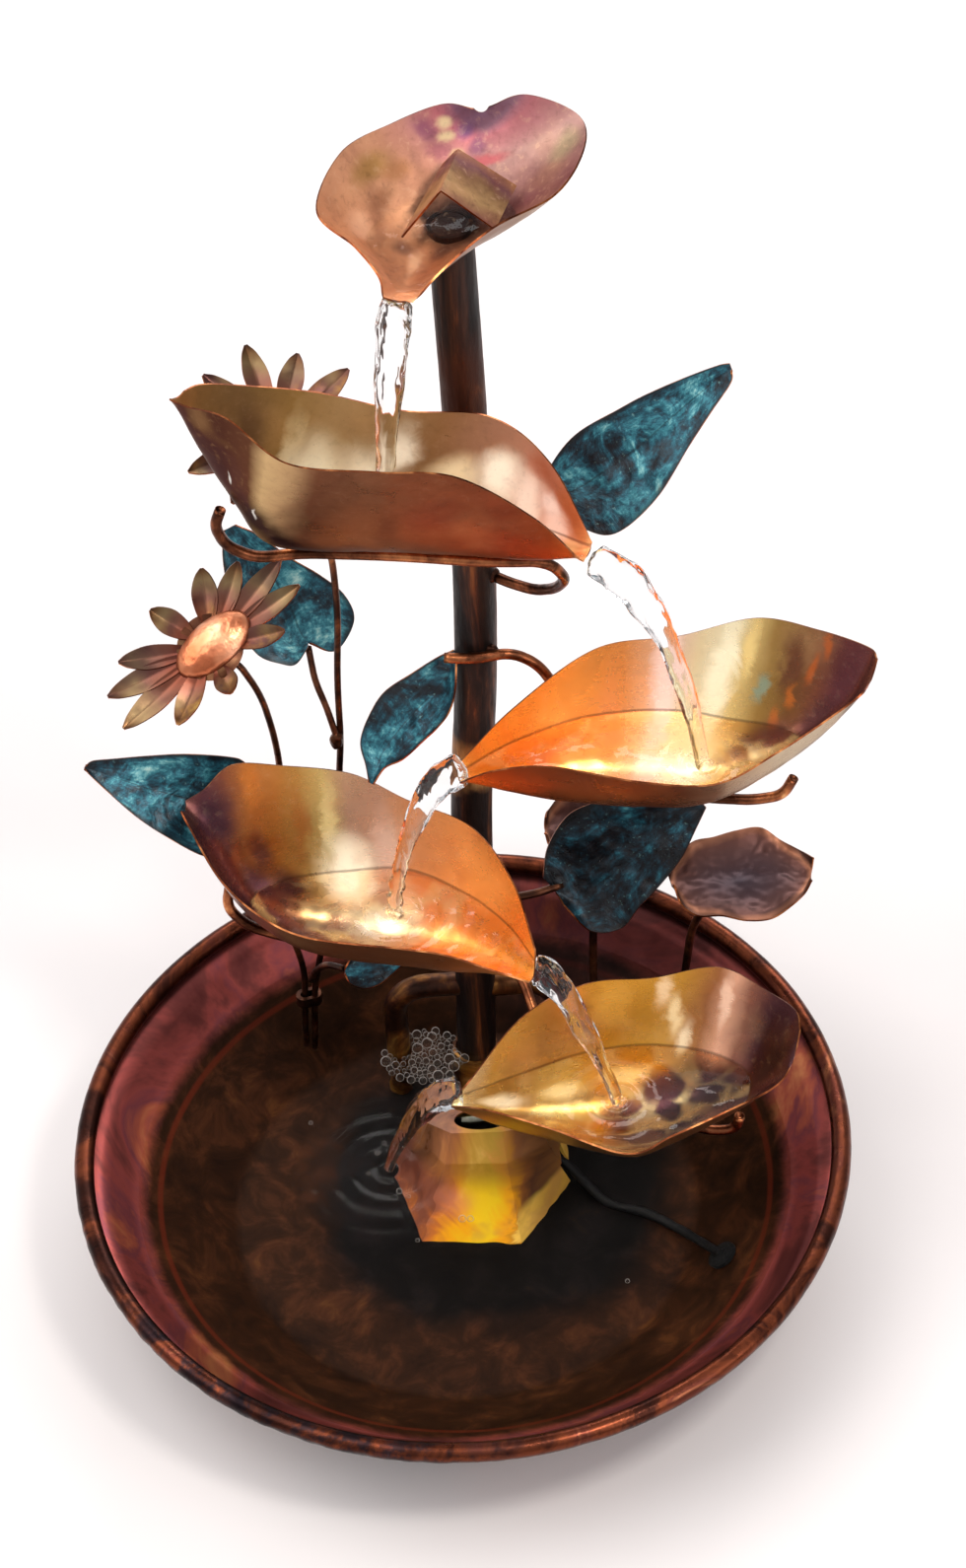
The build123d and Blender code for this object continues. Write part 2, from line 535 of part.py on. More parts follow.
# ---------------------------------------------------------------- cups
with BuildPart() as flower_cup:
    loft(sections=sheet_sections(FLOWER_CUP))
    with BuildSketch(Plane.XY.offset(430)):
        with Locations((17.0, riser_y)):
            Circle(riser_od / 2 + 0.05)
    extrude(amount=30, mode=Mode.SUBTRACT)
save(flower_cup, "flower_cup")

with BuildPart() as upper_cup:
    loft(sections=sheet_sections(UPPER_CUP))
save(upper_cup, "upper_cup")

with BuildPart() as right_cup:
    loft(sections=sheet_sections(RIGHT_CUP))
save(right_cup, "right_cup")

with BuildPart() as left_cup:
    loft(sections=sheet_sections(LEFT_CUP))
save(left_cup, "left_cup")

with BuildPart() as lower_cup:
    loft(sections=sheet_sections(LOWER_CUP))
save(lower_cup, "lower_cup")

# folded hood over the mouth of the riser: two panels meeting at a ridge
HOOD = [((31.5, 55.5, 463.5), (14.6, 57.0, 479.5), (1.0, 57.0, 461.5)), ((40.1, 74.0, 466.5), (21.5, 82.0, 477.0), (16.5, 79.5, 473.5))]
with BuildPart() as flower_hood:
    for near, keel, far in HOOD:
        hood_plane, hood_in, hood_out = section(near, keel, far, sheet, 1.0, 3)
        with BuildSketch(hood_plane):
            Polygon(*hood_in, *hood_out[::-1], align=None)
    loft(ruled=True)
save(flower_hood, "flower_hood")

# ---------------------------------------------------------------- support rods
with BuildPart() as upper_cup_rod:
    path = rod_path([(25.0, 64.0, 299.0), (30.4, 60.0, 298.9), (39.5, 53.0, 300.5), (47.0, 44.0, 309.0), (50.5, 33.0, 324.0), (44.0, 28.5, 337.0), (22.6, 30.6, 336.7), (-9.0, 36.6, 337.2), (-42.0, 37.5, 340.7), (-58.0, 35.5, 341.5), (-67.9, 34.5, 349.2), (-71.0, 34.0, 359.3), (-68.2, 34.0, 366.8)])
    sweep(sections=round_end(path, rod_d), path=path)
    add(riser_solid.part, mode=Mode.SUBTRACT)
save(upper_cup_rod, "upper_cup_rod")

with BuildPart() as right_cup_rod:
    path = rod_path([(5.5, 57.5, 265.5), (17.5, 56.6, 264.6), (30.0, 56.3, 267.2), (40.0, 56.5, 260.0), (50.0, 52.0, 243.0), (62.0, 37.0, 230.3), (76.0, 23.6, 224.2), (98.0, 21.5, 219.5), (116.0, 21.0, 217.0), (127.0, 21.0, 218.5), (131.0, 22.0, 226.5)])
    sweep(sections=round_end(path, rod_d), path=path)
save(right_cup_rod, "right_cup_rod")

with BuildPart() as left_cup_rod:
    path = rod_path([(19.0, 64.0, 130.5), (26.0, 56.0, 128.0), (24.0, 40.0, 134.0), (8.0, 26.0, 145.0), (-16.0, 22.0, 147.3), (-40.0, 27.5, 147.6), (-60.0, 29.0, 150.0), (-76.0, 31.0, 156.5), (-83.0, 33.0, 166.0), (-81.0, 35.0, 175.5)])
    sweep(sections=round_end(path, rod_d), path=path)
    add(riser_solid.part, mode=Mode.SUBTRACT)
save(left_cup_rod, "left_cup_rod")

with BuildPart() as lower_cup_rod:
    path = rod_path([(16.5, 64.0, 96.0), (28.0, 54.0, 92.0), (34.0, 34.0, 80.0), (44.0, 6.0, 72.5), (62.0, -14.0, 74.8), (84.0, -16.0, 77.6), (98.0, -18.0, 74.5), (106.0, -19.0, 76.0), (107.5, -19.0, 84.0)])
    sweep(sections=round_end(path, rod_d), path=path)
    add(riser_solid.part, mode=Mode.SUBTRACT)
save(lower_cup_rod, "lower_cup_rod")

# ---------------------------------------------------------------- leaves and stems
with BuildPart() as leaf_upper_right:
    loft(sections=sheet_sections(LEAF_UPPER_RIGHT, 1.5))
save(leaf_upper_right, "leaf_upper_right")
with BuildPart() as leaf_upper_right_stem:
    path = rod_path([(24.5, 70.5, 300.0), (33.0, 75.5, 303.0), (41.0, 77.0, 317.0), (47.0, 73.0, 331.0)])
    sweep(sections=round_end(path, hook_d), path=path)
    add(riser_solid.part, mode=Mode.SUBTRACT)
save(leaf_upper_right_stem, "leaf_upper_right_stem")

with BuildPart() as leaf_upper_left:
    loft(sections=sheet_sections(LEAF_UPPER_LEFT, 1.5))
save(leaf_upper_left, "leaf_upper_left")

with BuildPart() as leaf_folded:
    loft(sections=sheet_sections(LEAF_FOLDED, 1.3))
save(leaf_folded, "leaf_folded")

with BuildPart() as leaf_left:
    loft(sections=sheet_sections(LEAF_LEFT, 1.5))
save(leaf_left, "leaf_left")
with BuildPart() as leaf_left_stem:
    path = rod_path([(-57.5, 80.0, 120.0), (-58.5, 77.0, 150.0), (-62.0, 71.0, 172.0), (-68.0, 65.5, 184.0)])
    sweep(sections=round_end(path, stem_d), path=path)
save(leaf_left_stem, "leaf_left_stem")

with BuildPart() as leaf_lower_right:
    loft(sections=sheet_sections(LEAF_LOWER_RIGHT, 1.5))
save(leaf_lower_right, "leaf_lower_right")
with BuildPart() as leaf_lower_right_stem:
    path = rod_path([(17.5, 70.5, 120.0), (28.0, 77.0, 112.0), (38.0, 83.0, 107.5), (47.0, 86.0, 108.0)])
    sweep(sections=round_end(path, hook_d), path=path)
    add(riser_solid.part, mode=Mode.SUBTRACT)
save(leaf_lower_right_stem, "leaf_lower_right_stem")

with BuildPart() as leaf_small:
    loft(sections=sheet_sections(LEAF_SMALL, 1.5))
save(leaf_small, "leaf_small")
with BuildPart() as leaf_small_stem:
    path = rod_path([(-56.0, 78.0, 70.0), (-54.5, 73.5, 80.0), (-49.0, 66.0, 93.0), (-41.5, 57.5, 98.5)])
    sweep(sections=round_end(path, stem_d), path=path)
save(leaf_small_stem, "leaf_small_stem")

TALL = [(-57.6, 84.0, 13.6), (-57.0, 83.2, 32.0), (-55.5, 81.5, 62.0), (-49.5, 80.5, 92.0), (-42.0, 79.0, 140.0), (-37.2, 77.5, 188.5), (-35.4, 77.0, 208.2), (-34.8, 76.0, 239.5), (-32.1, 75.0, 275.9), (-32.6, 74.0, 309.0), (-38.5, 74.5, 340.0), (-45.6, 77.0, 357.0)]
with BuildPart() as tall_stem:
    path = rod_path(TALL)
    sweep(sections=round_end(path, stem_d), path=path)
save(tall_stem, "tall_stem")
with BuildPart() as leaf_upper_left_stem:
    path = rod_path([(-36.6, 75.2, 209.0), (-39.7, 77.1, 224.9), (-43.2, 80.6, 235.4), (-44.6, 83.7, 250.5)])
    sweep(sections=round_end(path, stem_d), path=path)
save(leaf_upper_left_stem, "leaf_upper_left_stem")
with BuildPart() as daisy_stem:
    path = rod_path([(-61.2, 84.5, 16.0), (-60.6, 83.7, 40.0), (-58.4, 81.5, 74.0), (-63.4, 80.5, 100.0), (-61.5, 78.0, 150.0), (-59.4, 75.0, 197.6), (-60.3, 73.0, 216.2), (-63.3, 70.0, 240.4), (-70.0, 65.3, 262.0), (-78.2, 62.8, 270.6)])
    sweep(sections=round_end(path, stem_d), path=path)
save(daisy_stem, "daisy_stem")
with BuildPart() as stem_tie:
    with BuildSketch(Plane.XY.offset(52)):
        with Locations((-58.0, 82.6)):
            SlotOverall(10.4, 6.4, rotation=10)
            SlotOverall(7.0, 3.2, rotation=10, mode=Mode.SUBTRACT)
    extrude(amount=5)
save(stem_tie, "stem_tie")


# ---------------------------------------------------------------- daisies
def petal_sections(centre, normal, tips, root_r, lift):
    """One list of sections for each folded petal."""
    c, n = Vector(*centre), Vector(*normal).normalized()
    out = []
    for tip, half in tips:
        t = Vector(*tip) - c
        t = t - n * t.dot(n)
        d = t.normalized()
        side = n.cross(d)
        rows = []
        for f, w, up in ((0.0, 0.42, 0.0), (0.28, 0.85, 0.10), (0.58, 1.0, 0.35), (0.85, 0.62, 0.75), (1.0, 0.16, 1.0)):
            r = root_r * 0.75 + (t.length - root_r * 0.75) * f
            m = c + d * r + n * (lift * up - 0.8 * w)
            e = n * (1.5 * w)
            rows.append((tuple(m - side * half * w + e), tuple(m), tuple(m + side * half * w + e)))
        out.append(sheet_sections(rows, 1.5, sheet, 5))
    return out


def petal_disc(centre, normal, r):
    c, n = Vector(*centre), Vector(*normal).normalized()
    with BuildSketch(Plane(origin=c - n * 0.6, z_dir=n), mode=Mode.PRIVATE) as disc:
        Circle(r)
    return disc.sketch.face()


dome_r, dome_h = 12.0, 5.0
dome_ball = (dome_r * dome_r + dome_h * dome_h) / (2 * dome_h)

DAISY1_C, DAISY1_N = (-79.5, 62.0, 274.7), (-0.15, -0.55, 0.8)
DAISY1_TIPS = [((-112.6, 42.2, 254.9), 4.6), ((-117.7, 52.8, 261.2), 4.6), ((-113.0, 62.6, 268.8), 4.4), ((-100.2, 76.6, 280.8), 4.6), ((-80.4, 86.0, 291.0), 4.8), ((-66.8, 85.7, 293.4), 4.2), ((-51.2, 83.6, 294.9), 4.4), ((-44.9, 74.6, 289.9), 4.2), ((-51.4, 61.8, 279.8), 4.2), ((-72.3, 46.2, 265.2), 4.4), ((-92.5, 40.0, 257.1), 4.4)]
with BuildPart() as daisy_petals:
    extrude(petal_disc(DAISY1_C, DAISY1_N, 12.5), amount=sheet)
    for group in petal_sections(DAISY1_C, DAISY1_N, DAISY1_TIPS, 11.0, 3.0):
        loft(sections=group)
save(daisy_petals, "daisy_petals")
# the front centre is an oval boss, the long way up to the right
with BuildPart() as daisy_dome:
    boss = Plane(origin=Vector(*DAISY1_C) + Vector(0.80, 0.413, 0.434) * 1.5 + Vector(*DAISY1_N).normalized() * 0.15, x_dir=(0.80, 0.413, 0.434), z_dir=DAISY1_N)
    for h, half_long, half_short in ((0.0, 16.5, 9.0), (1.2, 16.0, 8.7), (2.8, 13.7, 7.5), (4.2, 8.95, 4.9), (4.9, 3.3, 1.8)):
        with BuildSketch(boss.offset(h)):
            Ellipse(half_long, half_short)
    loft()
save(daisy_dome, "daisy_dome")

DAISY2_C, DAISY2_N = (-48.0, 79.5, 360.0), (0.1, -0.45, 0.88)
DAISY2_TIPS = []
for k in range(11):
    a = math.radians(k * 360 / 11 + 8)
    n2 = Vector(*DAISY2_N).normalized()
    ex2 = Vector(1, 0, 0) - n2 * n2.X
    ex2 = ex2.normalized()
    ey2 = n2.cross(ex2)
    reach = 33.0 + 2.5 * math.sin(2.3 * k)
    DAISY2_TIPS.append((tuple(Vector(*DAISY2_C) + ex2 * (reach * math.cos(a)) + ey2 * (reach * math.sin(a))), 4.4))
with BuildPart() as daisy_rear_petals:
    extrude(petal_disc(DAISY2_C, DAISY2_N, 12.5), amount=sheet)
    for group in petal_sections(DAISY2_C, DAISY2_N, DAISY2_TIPS, 11.0, 3.0):
        loft(sections=group)
save(daisy_rear_petals, "daisy_rear_petals")
with BuildPart() as daisy_rear_dome:
    with BuildSketch(Plane(origin=Vector(*DAISY2_C) + Vector(*DAISY2_N).normalized() * 0.15, z_dir=Vector(*DAISY2_N))):
        Circle(dome_r)
    extrude(amount=dome_h + 1)
    with Locations(Location(Vector(*DAISY2_C) + Vector(*DAISY2_N).normalized() * (0.15 + dome_h - dome_ball))):
        Sphere(dome_ball, mode=Mode.INTERSECT)
save(daisy_rear_dome, "daisy_rear_dome")

# ---------------------------------------------------------------- lily pads
with BuildPart() as lily_pad_right:
    loft(sections=sheet_sections(LILY_PAD_RIGHT, 2.2))
save(lily_pad_right, "lily_pad_right")
with BuildPart() as lily_pad_right_stem:
    path = rod_path([(92.0, 78.0, 32.9), (94.5, 79.5, 52.0), (98.0, 80.5, 84.0), (106.0, 81.2, 100.0), (117.0, 81.2, 105.8)])
    sweep(sections=round_end(path, hook_d), path=path)
save(lily_pad_right_stem, "lily_pad_right_stem")
with BuildPart() as lily_pad_rear:
    loft(sections=sheet_sections(LILY_PAD_REAR, 2.2))
save(lily_pad_rear, "lily_pad_rear")
with BuildPart() as lily_pad_rear_stem:
    path = rod_path([(58.0, 88.0, 16.9), (58.5, 94.0, 48.0), (60.0, 103.0, 82.0), (61.3, 108.6, 102.0), (61.7, 109.8, 111.8)])
    sweep(sections=round_end(path, hook_d), path=path)
save(lily_pad_rear_stem, "lily_pad_rear_stem")

# ---------------------------------------------------------------- cord
with BuildPart() as power_cord_inner:
    line_in = rod_path(CORD_IN)
    sweep(sections=round_end(line_in, cord_d), path=line_in)
save(power_cord_inner, "power_cord_inner")

# gland through the wall: inner flange, neck, outer nose
gl_dir = Vector(0.6548, -0.2670, -0.7071)
gl_in = Vector(98.1, -40.0, 18.9)
with BuildPart() as wall_gland:
    with BuildSketch(Plane(origin=gl_in, z_dir=gl_dir)):
        Circle(4.5)
    extrude(amount=7.6)
    with BuildSketch(Plane(origin=gl_in, z_dir=gl_dir)):
        Circle(6.4)
    extrude(amount=1.6)
    with BuildSketch(Plane(origin=gl_in + gl_dir * 3.6, z_dir=gl_dir)):
        Circle(6.4)
    extrude(amount=1.6)
save(wall_gland, "wall_gland")

with BuildPart() as power_cord_outer:
    line_out = rod_path(CORD_OUT)
    sweep(sections=round_end(line_out, cord_d), path=line_out)
save(power_cord_outer, "power_cord_outer")

with BuildPart() as cord_coil:
    with BuildSketch(Plane.XZ):
        with Locations((20.4, 4.9)):
            RectangleRounded(16.6, 9.2, 4.0)
    revolve(axis=Axis.Z)
    coil_shape = cord_coil.part
with BuildPart() as coil_placed:
    with Locations((COIL_C[0], COIL_C[1], 0)):
        add(coil_shape)
save(coil_placed, "cord_coil")

with BuildPart() as plug_lead:
    line_plug = rod_path(PLUG_LEAD)
    sweep(sections=round_end(line_plug, cord_d), path=line_plug)
save(plug_lead, "plug_lead")

pd = (Vector(*PLUG_LEAD[-1]) - Vector(*PLUG_LEAD[-2])).normalized()
p0 = Vector(*PLUG_LEAD[-1])
with BuildPart() as plug_body:
    with BuildSketch(Plane(origin=p0, x_dir=(0, 0, 1), z_dir=Vector(pd.X, pd.Y, 0))):
        Circle(3.2)
    with BuildSketch(Plane(origin=p0 + Vector(pd.X, pd.Y, 0) * 12, x_dir=(0, 0, 1), z_dir=Vector(pd.X, pd.Y, 0))):
        RectangleRounded(12.0, 18.0, 4.0)
    with BuildSketch(Plane(origin=p0 + Vector(pd.X, pd.Y, 0) * 26, x_dir=(0, 0, 1), z_dir=Vector(pd.X, pd.Y, 0))):
        RectangleRounded(13.6, 25.0, 5.0)
    loft()
save(plug_body, "plug_body")
flat = Vector(pd.X, pd.Y, 0).normalized()
across = flat.cross(Vector(0, 0, 1))
with BuildPart() as plug_pins:
    for s in (-1, 1):
        a0 = p0 + flat * (26 * Vector(pd.X, pd.Y, 0).length) + across * (6.35 * s)
        with BuildSketch(Plane(origin=a0, x_dir=(0, 0, 1), z_dir=flat)):
            RectangleRounded(6.3, 1.5, 0.5)
        extrude(amount=16)
save(plug_pins, "plug_pins")

for tag, pts, path in (("inner", CORD_IN, line_in), ("outer", CORD_OUT, line_out), ("plug lead", PLUG_LEAD, line_plug)):
    print("cord", tag, "length %.1f" % path.length, "radii", ["%.0f" % r for r in arc_radii(pts)])
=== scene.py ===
import bpy
import math
import random
from mathutils import Matrix, Vector, noise


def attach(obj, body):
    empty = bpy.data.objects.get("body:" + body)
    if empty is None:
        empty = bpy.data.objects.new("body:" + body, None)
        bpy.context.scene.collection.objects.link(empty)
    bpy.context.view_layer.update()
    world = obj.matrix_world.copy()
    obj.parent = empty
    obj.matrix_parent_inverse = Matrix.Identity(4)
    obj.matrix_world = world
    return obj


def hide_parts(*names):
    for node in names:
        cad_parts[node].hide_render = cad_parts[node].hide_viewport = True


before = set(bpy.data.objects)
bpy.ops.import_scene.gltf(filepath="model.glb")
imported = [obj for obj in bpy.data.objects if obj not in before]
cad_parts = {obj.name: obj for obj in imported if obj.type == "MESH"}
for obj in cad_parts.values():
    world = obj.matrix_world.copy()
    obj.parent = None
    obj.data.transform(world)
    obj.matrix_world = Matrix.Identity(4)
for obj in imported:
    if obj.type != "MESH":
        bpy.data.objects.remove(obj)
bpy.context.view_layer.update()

# Copper tabletop water fountain. Tables are in millimetres in the row frame.
MM = 0.001
scene = bpy.context.scene
random.seed(7)

# ------------------------------------------------------------------ tables
FLOWER_CUP = [
    ((33.0, 100.0, 480.5), (30.6, 100.0, 478.6), (28.0, 100.0, 480.1)),
    ((45.8, 100.0, 484.7), (28.5, 97.0, 471.5), (17.5, 100.0, 483.0)),
    ((62.5, 92.0, 481.1), (24.7, 89.0, 464.2), (0.2, 94.0, 481.1)),
    ((63.3, 78.0, 477.7), (17.0, 77.0, 457.5), (-17.2, 80.0, 481.3)),
    ((52.4, 60.0, 473.5), (13.0, 64.0, 452.5), (-26.6, 58.0, 474.8)),
    ((30.8, 44.0, 473.9), (7.5, 50.0, 453.0), (-14.6, 42.0, 471.2)),
    ((12.7, 32.0, 466.9), (2.0, 36.0, 457.0), (-7.5, 30.0, 467.8)),
    ((2.9, 24.0, 460.6), (-1.9, 22.5, 463.0), (-6.6, 22.0, 465.5)),
]
UPPER_CUP = [
    ((-81.0, 34.0, 418.3), (-78.2, 36.0, 416.7), (-76.1, 38.0, 417.5)),
    ((-74.7, 28.0, 419.4), (-71.9, 37.0, 392.8), (-69.8, 42.0, 416.5)),
    ((-61.3, 17.0, 422.4), (-61.9, 36.0, 367.4), (-54.5, 47.0, 410.1)),
    ((-42.8, 7.0, 409.9), (-49.7, 36.0, 348.2), (-30.8, 51.0, 401.4)),
    ((-13.4, 2.0, 407.7), (-15.9, 36.0, 342.3), (-2.9, 52.0, 390.1)),
    ((13.1, 4.0, 401.3), (11.9, 33.0, 340.6), (26.7, 48.0, 388.2)),
    ((38.8, 10.0, 375.2), (38.5, 26.0, 342.7), (45.7, 36.0, 376.7)),
    ((55.7, 15.0, 348.0), (57.7, 18.0, 349.7), (59.3, 21.0, 351.4)),
]
RIGHT_CUP = [
    ((156.5, 18.0, 274.0), (158.5, 21.0, 278.3), (160.2, 24.0, 282.6)),
    ((145.9, 12.0, 270.0), (149.0, 21.0, 262.0), (157.8, 31.0, 282.0)),
    ((122.6, 2.0, 261.2), (129.0, 21.0, 243.0), (141.3, 42.0, 281.4)),
    ((99.8, -6.0, 255.4), (101.0, 20.0, 230.0), (119.5, 50.0, 281.8)),
    ((72.3, -5.0, 258.1), (79.0, 21.0, 227.0), (91.8, 54.0, 271.6)),
    ((41.7, 1.0, 262.6), (50.0, 22.0, 228.5), (61.4, 53.0, 269.0)),
    ((22.1, 8.0, 255.8), (28.0, 20.0, 235.0), (30.7, 37.0, 258.3)),
    ((8.4, 13.0, 245.9), (9.6, 16.0, 245.3), (8.5, 19.0, 249.0)),
]
LEFT_CUP = [
    ((-96.1, 43.0, 209.6), (-94.4, 44.3, 208.4), (-94.5, 47.0, 210.6)),
    ((-93.1, 37.0, 206.5), (-88.0, 43.0, 200.0), (-87.3, 50.0, 212.6)),
    ((-83.4, 22.0, 194.0), (-76.0, 37.0, 175.0), (-76.0, 56.0, 218.6)),
    ((-70.2, 10.0, 186.1), (-60.0, 33.0, 158.0), (-57.5, 60.0, 212.2)),
    ((-52.0, 0.0, 182.1), (-40.0, 28.0, 152.0), (-32.0, 61.5, 203.8)),
    ((-18.3, -8.0, 181.5), (-18.0, 21.0, 151.0), (-11.5, 57.0, 192.0)),
    ((-1.0, -12.0, 180.3), (2.0, 12.0, 154.0), (11.6, 42.0, 190.7)),
    ((13.6, -14.0, 173.9), (18.0, 3.0, 159.0), (25.5, 18.0, 184.0)),
    ((29.0, -16.0, 166.8), (31.0, -11.0, 166.0), (31.7, -5.0, 171.9)),
]
LOWER_CUP = [
    ((127.1, -22.0, 116.4), (129.0, -18.0, 121.9), (130.5, -14.0, 126.3)),
    ((119.8, -28.0, 111.0), (119.0, -17.0, 108.0), (129.4, -6.0, 128.6)),
    ((101.2, -38.0, 111.0), (105.0, -16.0, 93.0), (119.4, 6.0, 127.4)),
    ((79.1, -46.0, 108.0), (86.0, -15.0, 83.0), (102.6, 16.0, 131.0)),
    ((61.7, -49.0, 103.0), (66.0, -14.0, 79.0), (77.0, 18.0, 125.1)),
    ((33.2, -38.0, 108.0), (42.0, -13.0, 80.5), (51.8, 16.0, 126.6)),
    ((10.6, -26.0, 106.5), (18.0, -13.0, 88.0), (26.3, 4.0, 123.5)),
    ((-2.4, -17.0, 99.4), (-2.2, -14.5, 98.2), (2.6, -11.5, 102.9)),
]
LEAF_UPPER_RIGHT = [
    ((46.2, 64.2, 331.1), (45.1, 66.0, 331.6), (43.7, 67.4, 334.1)),
    ((57.5, 56.4, 326.2), (55.5, 67.0, 334.5), (48.6, 72.9, 343.0)),
    ((69.2, 52.4, 326.0), (67.3, 69.5, 340.8), (57.9, 77.2, 352.3)),
    ((84.1, 56.5, 337.4), (80.2, 71.8, 349.7), (73.3, 79.0, 360.9)),
    ((96.5, 65.1, 353.3), (93.0, 75.0, 360.4), (82.6, 79.8, 365.8)),
    ((105.5, 71.0, 364.4), (102.2, 77.0, 367.9), (96.3, 80.2, 372.0)),
    ((112.5, 75.4, 372.8), (109.5, 78.3, 373.5), (108.5, 80.1, 376.9)),
    ((112.8, 78.0, 376.1), (113.2, 78.7, 376.3), (112.6, 79.5, 378.0)),
]
LEAF_UPPER_LEFT = [
    ((-72.0, 105.6, 292.0), (-69.9, 106.9, 292.1), (-68.0, 106.8, 292.9)),
    ((-73.5, 100.0, 284.7), (-63.9, 104.0, 285.9), (-59.9, 104.9, 289.0)),
    ((-72.4, 91.9, 273.8), (-58.0, 99.6, 278.0), (-48.9, 100.1, 280.9)),
    ((-68.7, 83.1, 261.6), (-53.4, 95.3, 270.2), (-38.1, 96.5, 274.2)),
    ((-63.2, 77.9, 253.6), (-49.6, 90.6, 263.2), (-29.6, 92.4, 267.3)),
    ((-55.4, 76.2, 250.1), (-47.6, 86.4, 257.9), (-26.8, 86.7, 259.3)),
    ((-49.6, 76.2, 249.1), (-45.7, 83.2, 255.3), (-34.2, 79.8, 251.3)),
    ((-44.7, 80.3, 253.7), (-44.3, 81.6, 254.6), (-43.1, 81.2, 254.8)),
]
LEAF_FOLDED = [
    ((-25.2, 46.9, 213.9), (-24.7, 46.9, 213.0), (-24.2, 46.1, 213.5)),
    ((-26.2, 51.2, 219.1), (-22.3, 51.1, 217.7), (-19.3, 48.4, 219.7)),
    ((-27.5, 56.7, 225.8), (-19.3, 55.2, 221.2), (-12.1, 48.1, 224.0)),
    ((-23.4, 61.4, 234.8), (-12.7, 59.1, 228.4), (-3.9, 49.8, 231.4)),
    ((-17.3, 64.5, 242.9), (-5.6, 61.5, 235.8), (1.5, 51.0, 236.5)),
    ((-7.0, 65.2, 250.5), (1.2, 62.7, 243.5), (5.9, 52.9, 241.9)),
    ((3.3, 65.7, 257.7), (6.2, 63.8, 250.8), (8.6, 56.8, 249.0)),
    ((9.3, 65.4, 261.0), (9.9, 65.4, 260.1), (9.9, 64.3, 260.0)),
]
LEAF_LEFT = [
    ((-70.0, 50.5, 174.1), (-68.5, 62.4, 182.7), (-67.9, 69.5, 196.5)),
    ((-78.3, 48.7, 174.7), (-77.8, 63.3, 185.5), (-72.6, 73.1, 202.4)),
    ((-90.3, 48.5, 178.3), (-88.0, 64.3, 189.8), (-78.0, 73.8, 204.9)),
    ((-102.7, 51.6, 186.1), (-99.3, 64.9, 195.2), (-93.7, 72.9, 208.9)),
    ((-113.9, 55.6, 194.4), (-110.0, 65.1, 200.3), (-108.5, 71.0, 211.3)),
    ((-123.8, 60.6, 203.7), (-120.4, 65.6, 206.0), (-121.3, 69.0, 213.0)),
    ((-130.2, 64.2, 210.2), (-127.4, 66.0, 209.9), (-129.0, 67.7, 214.0)),
    ((-131.8, 65.5, 212.3), (-132.3, 66.1, 212.3), (-131.4, 66.3, 213.0)),
]
LEAF_LOWER_RIGHT = [
    ((104.0, 94.8, 141.8), (103.6, 94.9, 140.3), (105.0, 93.1, 139.0)),
    ((99.0, 96.4, 143.5), (96.9, 93.6, 134.9), (100.7, 89.2, 131.6)),
    ((85.6, 98.5, 144.3), (87.7, 92.3, 127.6), (93.8, 83.4, 120.3)),
    ((72.0, 99.3, 143.1), (78.0, 90.2, 120.0), (84.7, 78.8, 110.6)),
    ((60.2, 98.8, 139.8), (70.0, 87.8, 113.2), (76.5, 75.3, 103.1)),
    ((50.2, 97.2, 135.1), (61.9, 85.8, 107.1), (69.0, 71.7, 95.5)),
    ((42.1, 91.9, 124.4), (52.4, 82.7, 102.3), (57.2, 72.4, 94.3)),
    ((39.3, 85.6, 113.1), (43.9, 83.6, 107.0), (47.3, 78.9, 103.3)),
]
LEAF_SMALL = [
    ((-41.1, 54.1, 99.1), (-41.5, 55.4, 99.4), (-41.0, 55.7, 100.7)),
    ((-39.5, 51.5, 96.5), (-38.3, 56.3, 98.9), (-38.4, 58.4, 103.4)),
    ((-34.2, 49.9, 94.9), (-33.7, 56.5, 98.1), (-34.2, 60.9, 105.9)),
    ((-28.6, 50.7, 95.7), (-29.0, 56.7, 98.5), (-29.9, 61.3, 106.3)),
    ((-23.3, 53.2, 98.2), (-24.6, 57.2, 99.8), (-25.3, 60.8, 105.8)),
    ((-18.8, 55.7, 100.7), (-20.2, 57.7, 101.1), (-20.0, 59.4, 104.4)),
    ((-15.9, 57.3, 102.3), (-15.5, 58.2, 102.4), (-15.4, 58.3, 103.3)),
]
LILY_PAD_RIGHT = [
    ((91.1, 77.1, 113.0), (90.0, 81.1, 109.5), (89.6, 85.2, 111.5)),
    ((93.3, 69.9, 109.4), (93.5, 81.1, 108.8), (92.6, 92.6, 112.4)),
    ((99.1, 63.6, 109.0), (99.8, 81.1, 108.4), (100.2, 97.5, 115.5)),
    ((108.4, 60.8, 111.1), (108.3, 81.1, 108.1), (108.5, 101.0, 113.5)),
    ((117.9, 59.9, 108.3), (117.9, 81.1, 108.0), (117.9, 103.6, 113.6)),
    ((127.8, 59.9, 108.5), (127.5, 81.1, 108.1), (127.7, 102.0, 116.1)),
    ((136.4, 63.8, 111.4), (136.0, 81.1, 108.4), (135.3, 97.2, 113.1)),
    ((141.5, 70.3, 109.7), (142.3, 81.1, 108.8), (142.2, 92.1, 112.1)),
    ((145.4, 77.0, 110.5), (145.8, 81.1, 109.5), (146.9, 85.3, 114.0)),
]
